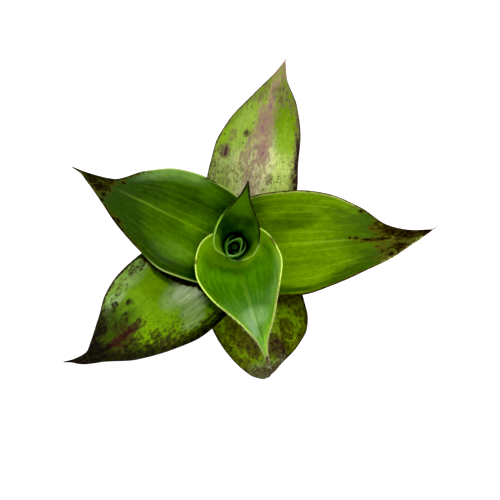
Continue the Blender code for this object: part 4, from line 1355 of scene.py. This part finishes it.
def hair_finish():
    """Dry plant hair: horny and straw-pale, brown where it leaves the leaf."""
    material, tree, shader = new_finish("straw_hair", IOR=1.5, Subsurface_Weight=0.15,
                                        Subsurface_Scale=0.0005)
    share = add(tree, "SeparateXYZ", add(tree, "UVMap", uv_map="share")).node.outputs
    brown = add(tree, "MapRange", share["X"], 0.45, 1.0, 1.0, 0.5)
    brown = add(tree, "Math", brown, share["Y"], **TIMES)
    grain = add(tree, "TexNoise", in_mm(tree), Scale=1 / 0.3, Detail=2)
    straw = add(tree, "Mix", grain, "#C9C59A", "#F0EED8", **COLOURED)
    colour = add(tree, "Mix", brown, straw, "#4A2E1C", **COLOURED)
    rough = add(tree, "MapRange", grain, 0.3, 0.7, 0.45, 0.6)
    feed_named(tree, shader, Base_Color=colour, Roughness=rough)
    return material


def add_hair(points, faces, shares, root, along, bend, length, radius, sides, kind):
    """Add one tapered bent hair, closed at both ends, with its share of length and its kind."""
    rings = 8 if kind else 4
    aside = unit(np.cross(along, bend))
    over = np.cross(aside, along)
    first = len(points)
    for i in range(rings):
        share = i / (rings - 1)
        centre = root + length * (share * along + 0.5 * share**2 * bend)
        thick = radius * (1 - share)**HAIR_TAPER + HAIR_END
        for k in range(sides):
            turn = math.tau * k / sides
            points.append(centre + thick * (math.cos(turn) * aside + math.sin(turn) * over))
            shares.append((share, kind))
    ring = list(range(sides))
    for i in range(rings - 1):
        low = first + i * sides
        for k in ring:
            beside = (k + 1) % sides
            faces.append([low + k, low + beside, low + sides + beside, low + sides + k])
    faces.append([first + k for k in reversed(ring)])
    faces.append([first + (rings - 1) * sides + k for k in ring])


def make_hairs(name, skin, slot, finish):
    """Bristle at a leaf's end and, on young leaves, the fine hairs along its margins."""
    leaf = LEAVES[name]
    draw = np.random.default_rng(len(name) + int(leaf.node))
    points, faces, shares = [], [], []
    centre = skin.s.shape[1] // 2
    rib = skin.middle[:, centre]
    onward = unit(rib[-1] - rib[-6])
    left = np.cross(skin.normal[-6, centre], onward)
    length, lean = BRISTLES[name]
    add_hair(points, faces, shares, rib[-1] - BRISTLE_ROOT * onward, onward,
             lean * left + 0.02 * onward, length, BRISTLE_RADIUS * leaf.blade / BLADE,
             BRISTLE_SIDES, 1)
    if name in CILIA:
        start, end, spacing, length = CILIA[name]
        for column, inward in ((0, 3), (-1, -4)):
            margin = skin.middle[:, column]
            run = walked(margin)
            reach = np.interp([start, end], skin.t[:, 0], run)
            for place in np.arange(*reach, spacing):
                place += draw.uniform(-0.4, 0.4) * spacing
                row = int(np.clip(np.searchsorted(run, place), 1, len(run) - 2))
                share = (place - run[row - 1]) / (run[row] - run[row - 1])
                root = margin[row - 1] * (1 - share) + margin[row] * share
                out = unit(margin[row] - skin.middle[row, inward])
                forth = unit(margin[row + 1] - margin[row - 1])
                way = out + forth * draw.uniform(0.2, 0.9)
                way = unit(way + skin.normal[row, column] * draw.normal(0, 0.25))
                add_hair(points, faces, shares, root - HAIR_ROOT * out, way,
                         0.5 * forth + 0.01 * out, length * draw.uniform(0.55, 1.2), HAIR_RADIUS,
                         HAIR_SIDES, 0)
    ends = np.array(shares)[np.concatenate(faces)]
    mesh = closed_mesh(name + "_hairs", points, faces, [("share", ends)])
    add_piece(name + "_hairs", mesh, finish, slot)


# Light, floor and camera

def make_sky(scene):
    """Studio with soft light from overhead and dimmer walls."""
    world = bpy.data.worlds.new("studio")
    scene.world = world
    world.use_nodes = True
    tree = world.node_tree
    place = add(tree, "TexCoord").node.outputs["Generated"]
    height = add(tree, "SeparateXYZ", place).node.outputs["Z"]
    light = add(tree, "MapRange", height, 0.25, 0.85, 0.55, 0.95, **SOFT)
    feed_named(tree, tree.nodes["Background"], Color="#FFFFFF", Strength=light)


def make_stage():
    """Pale floor, soft studio light and the camera straight above."""
    scene = bpy.context.scene
    grading = scene.view_settings
    grading.view_transform = "Standard"
    grading.use_curve_mapping = True
    grading.curve_mapping.black_level = (BLACK, BLACK, BLACK)
    grading.curve_mapping.update()
    scene.camera = put("camera", bpy.data.cameras.new("camera"), CAMERA_PLACE)
    scene.camera.data.lens = CAMERA_LENS
    scene.camera.data.sensor_width = CAMERA_SENSOR
    make_sky(scene)
    for name, place, size, power in LAMPS:
        lamp = bpy.data.lights.new(name, "AREA")
        lamp.size = size
        lamp.energy = power
        aim = Vector(LAMP_TARGET) - Vector(place)
        put(name, lamp, place).rotation_euler = aim.to_track_quat("-Z", "Y").to_euler()
    form = bmesh.new()
    bmesh.ops.create_grid(form, x_segments=4, y_segments=4, size=FLOOR_HALF)
    floor = put("floor", mesh_of(form, "floor"))
    # White acrylic lit from below, which keeps shadows on it faint
    acrylic, _, _ = new_finish("white_acrylic", Base_Color="#F4F4F4", Roughness=0.9,
                               Emission_Color="#FFFFFF", Emission_Strength=0.4)
    floor.data.materials.append(acrylic)


make_stage()
make_pot()
make_soil()
make_stem()
make_leaves()
make_bud()
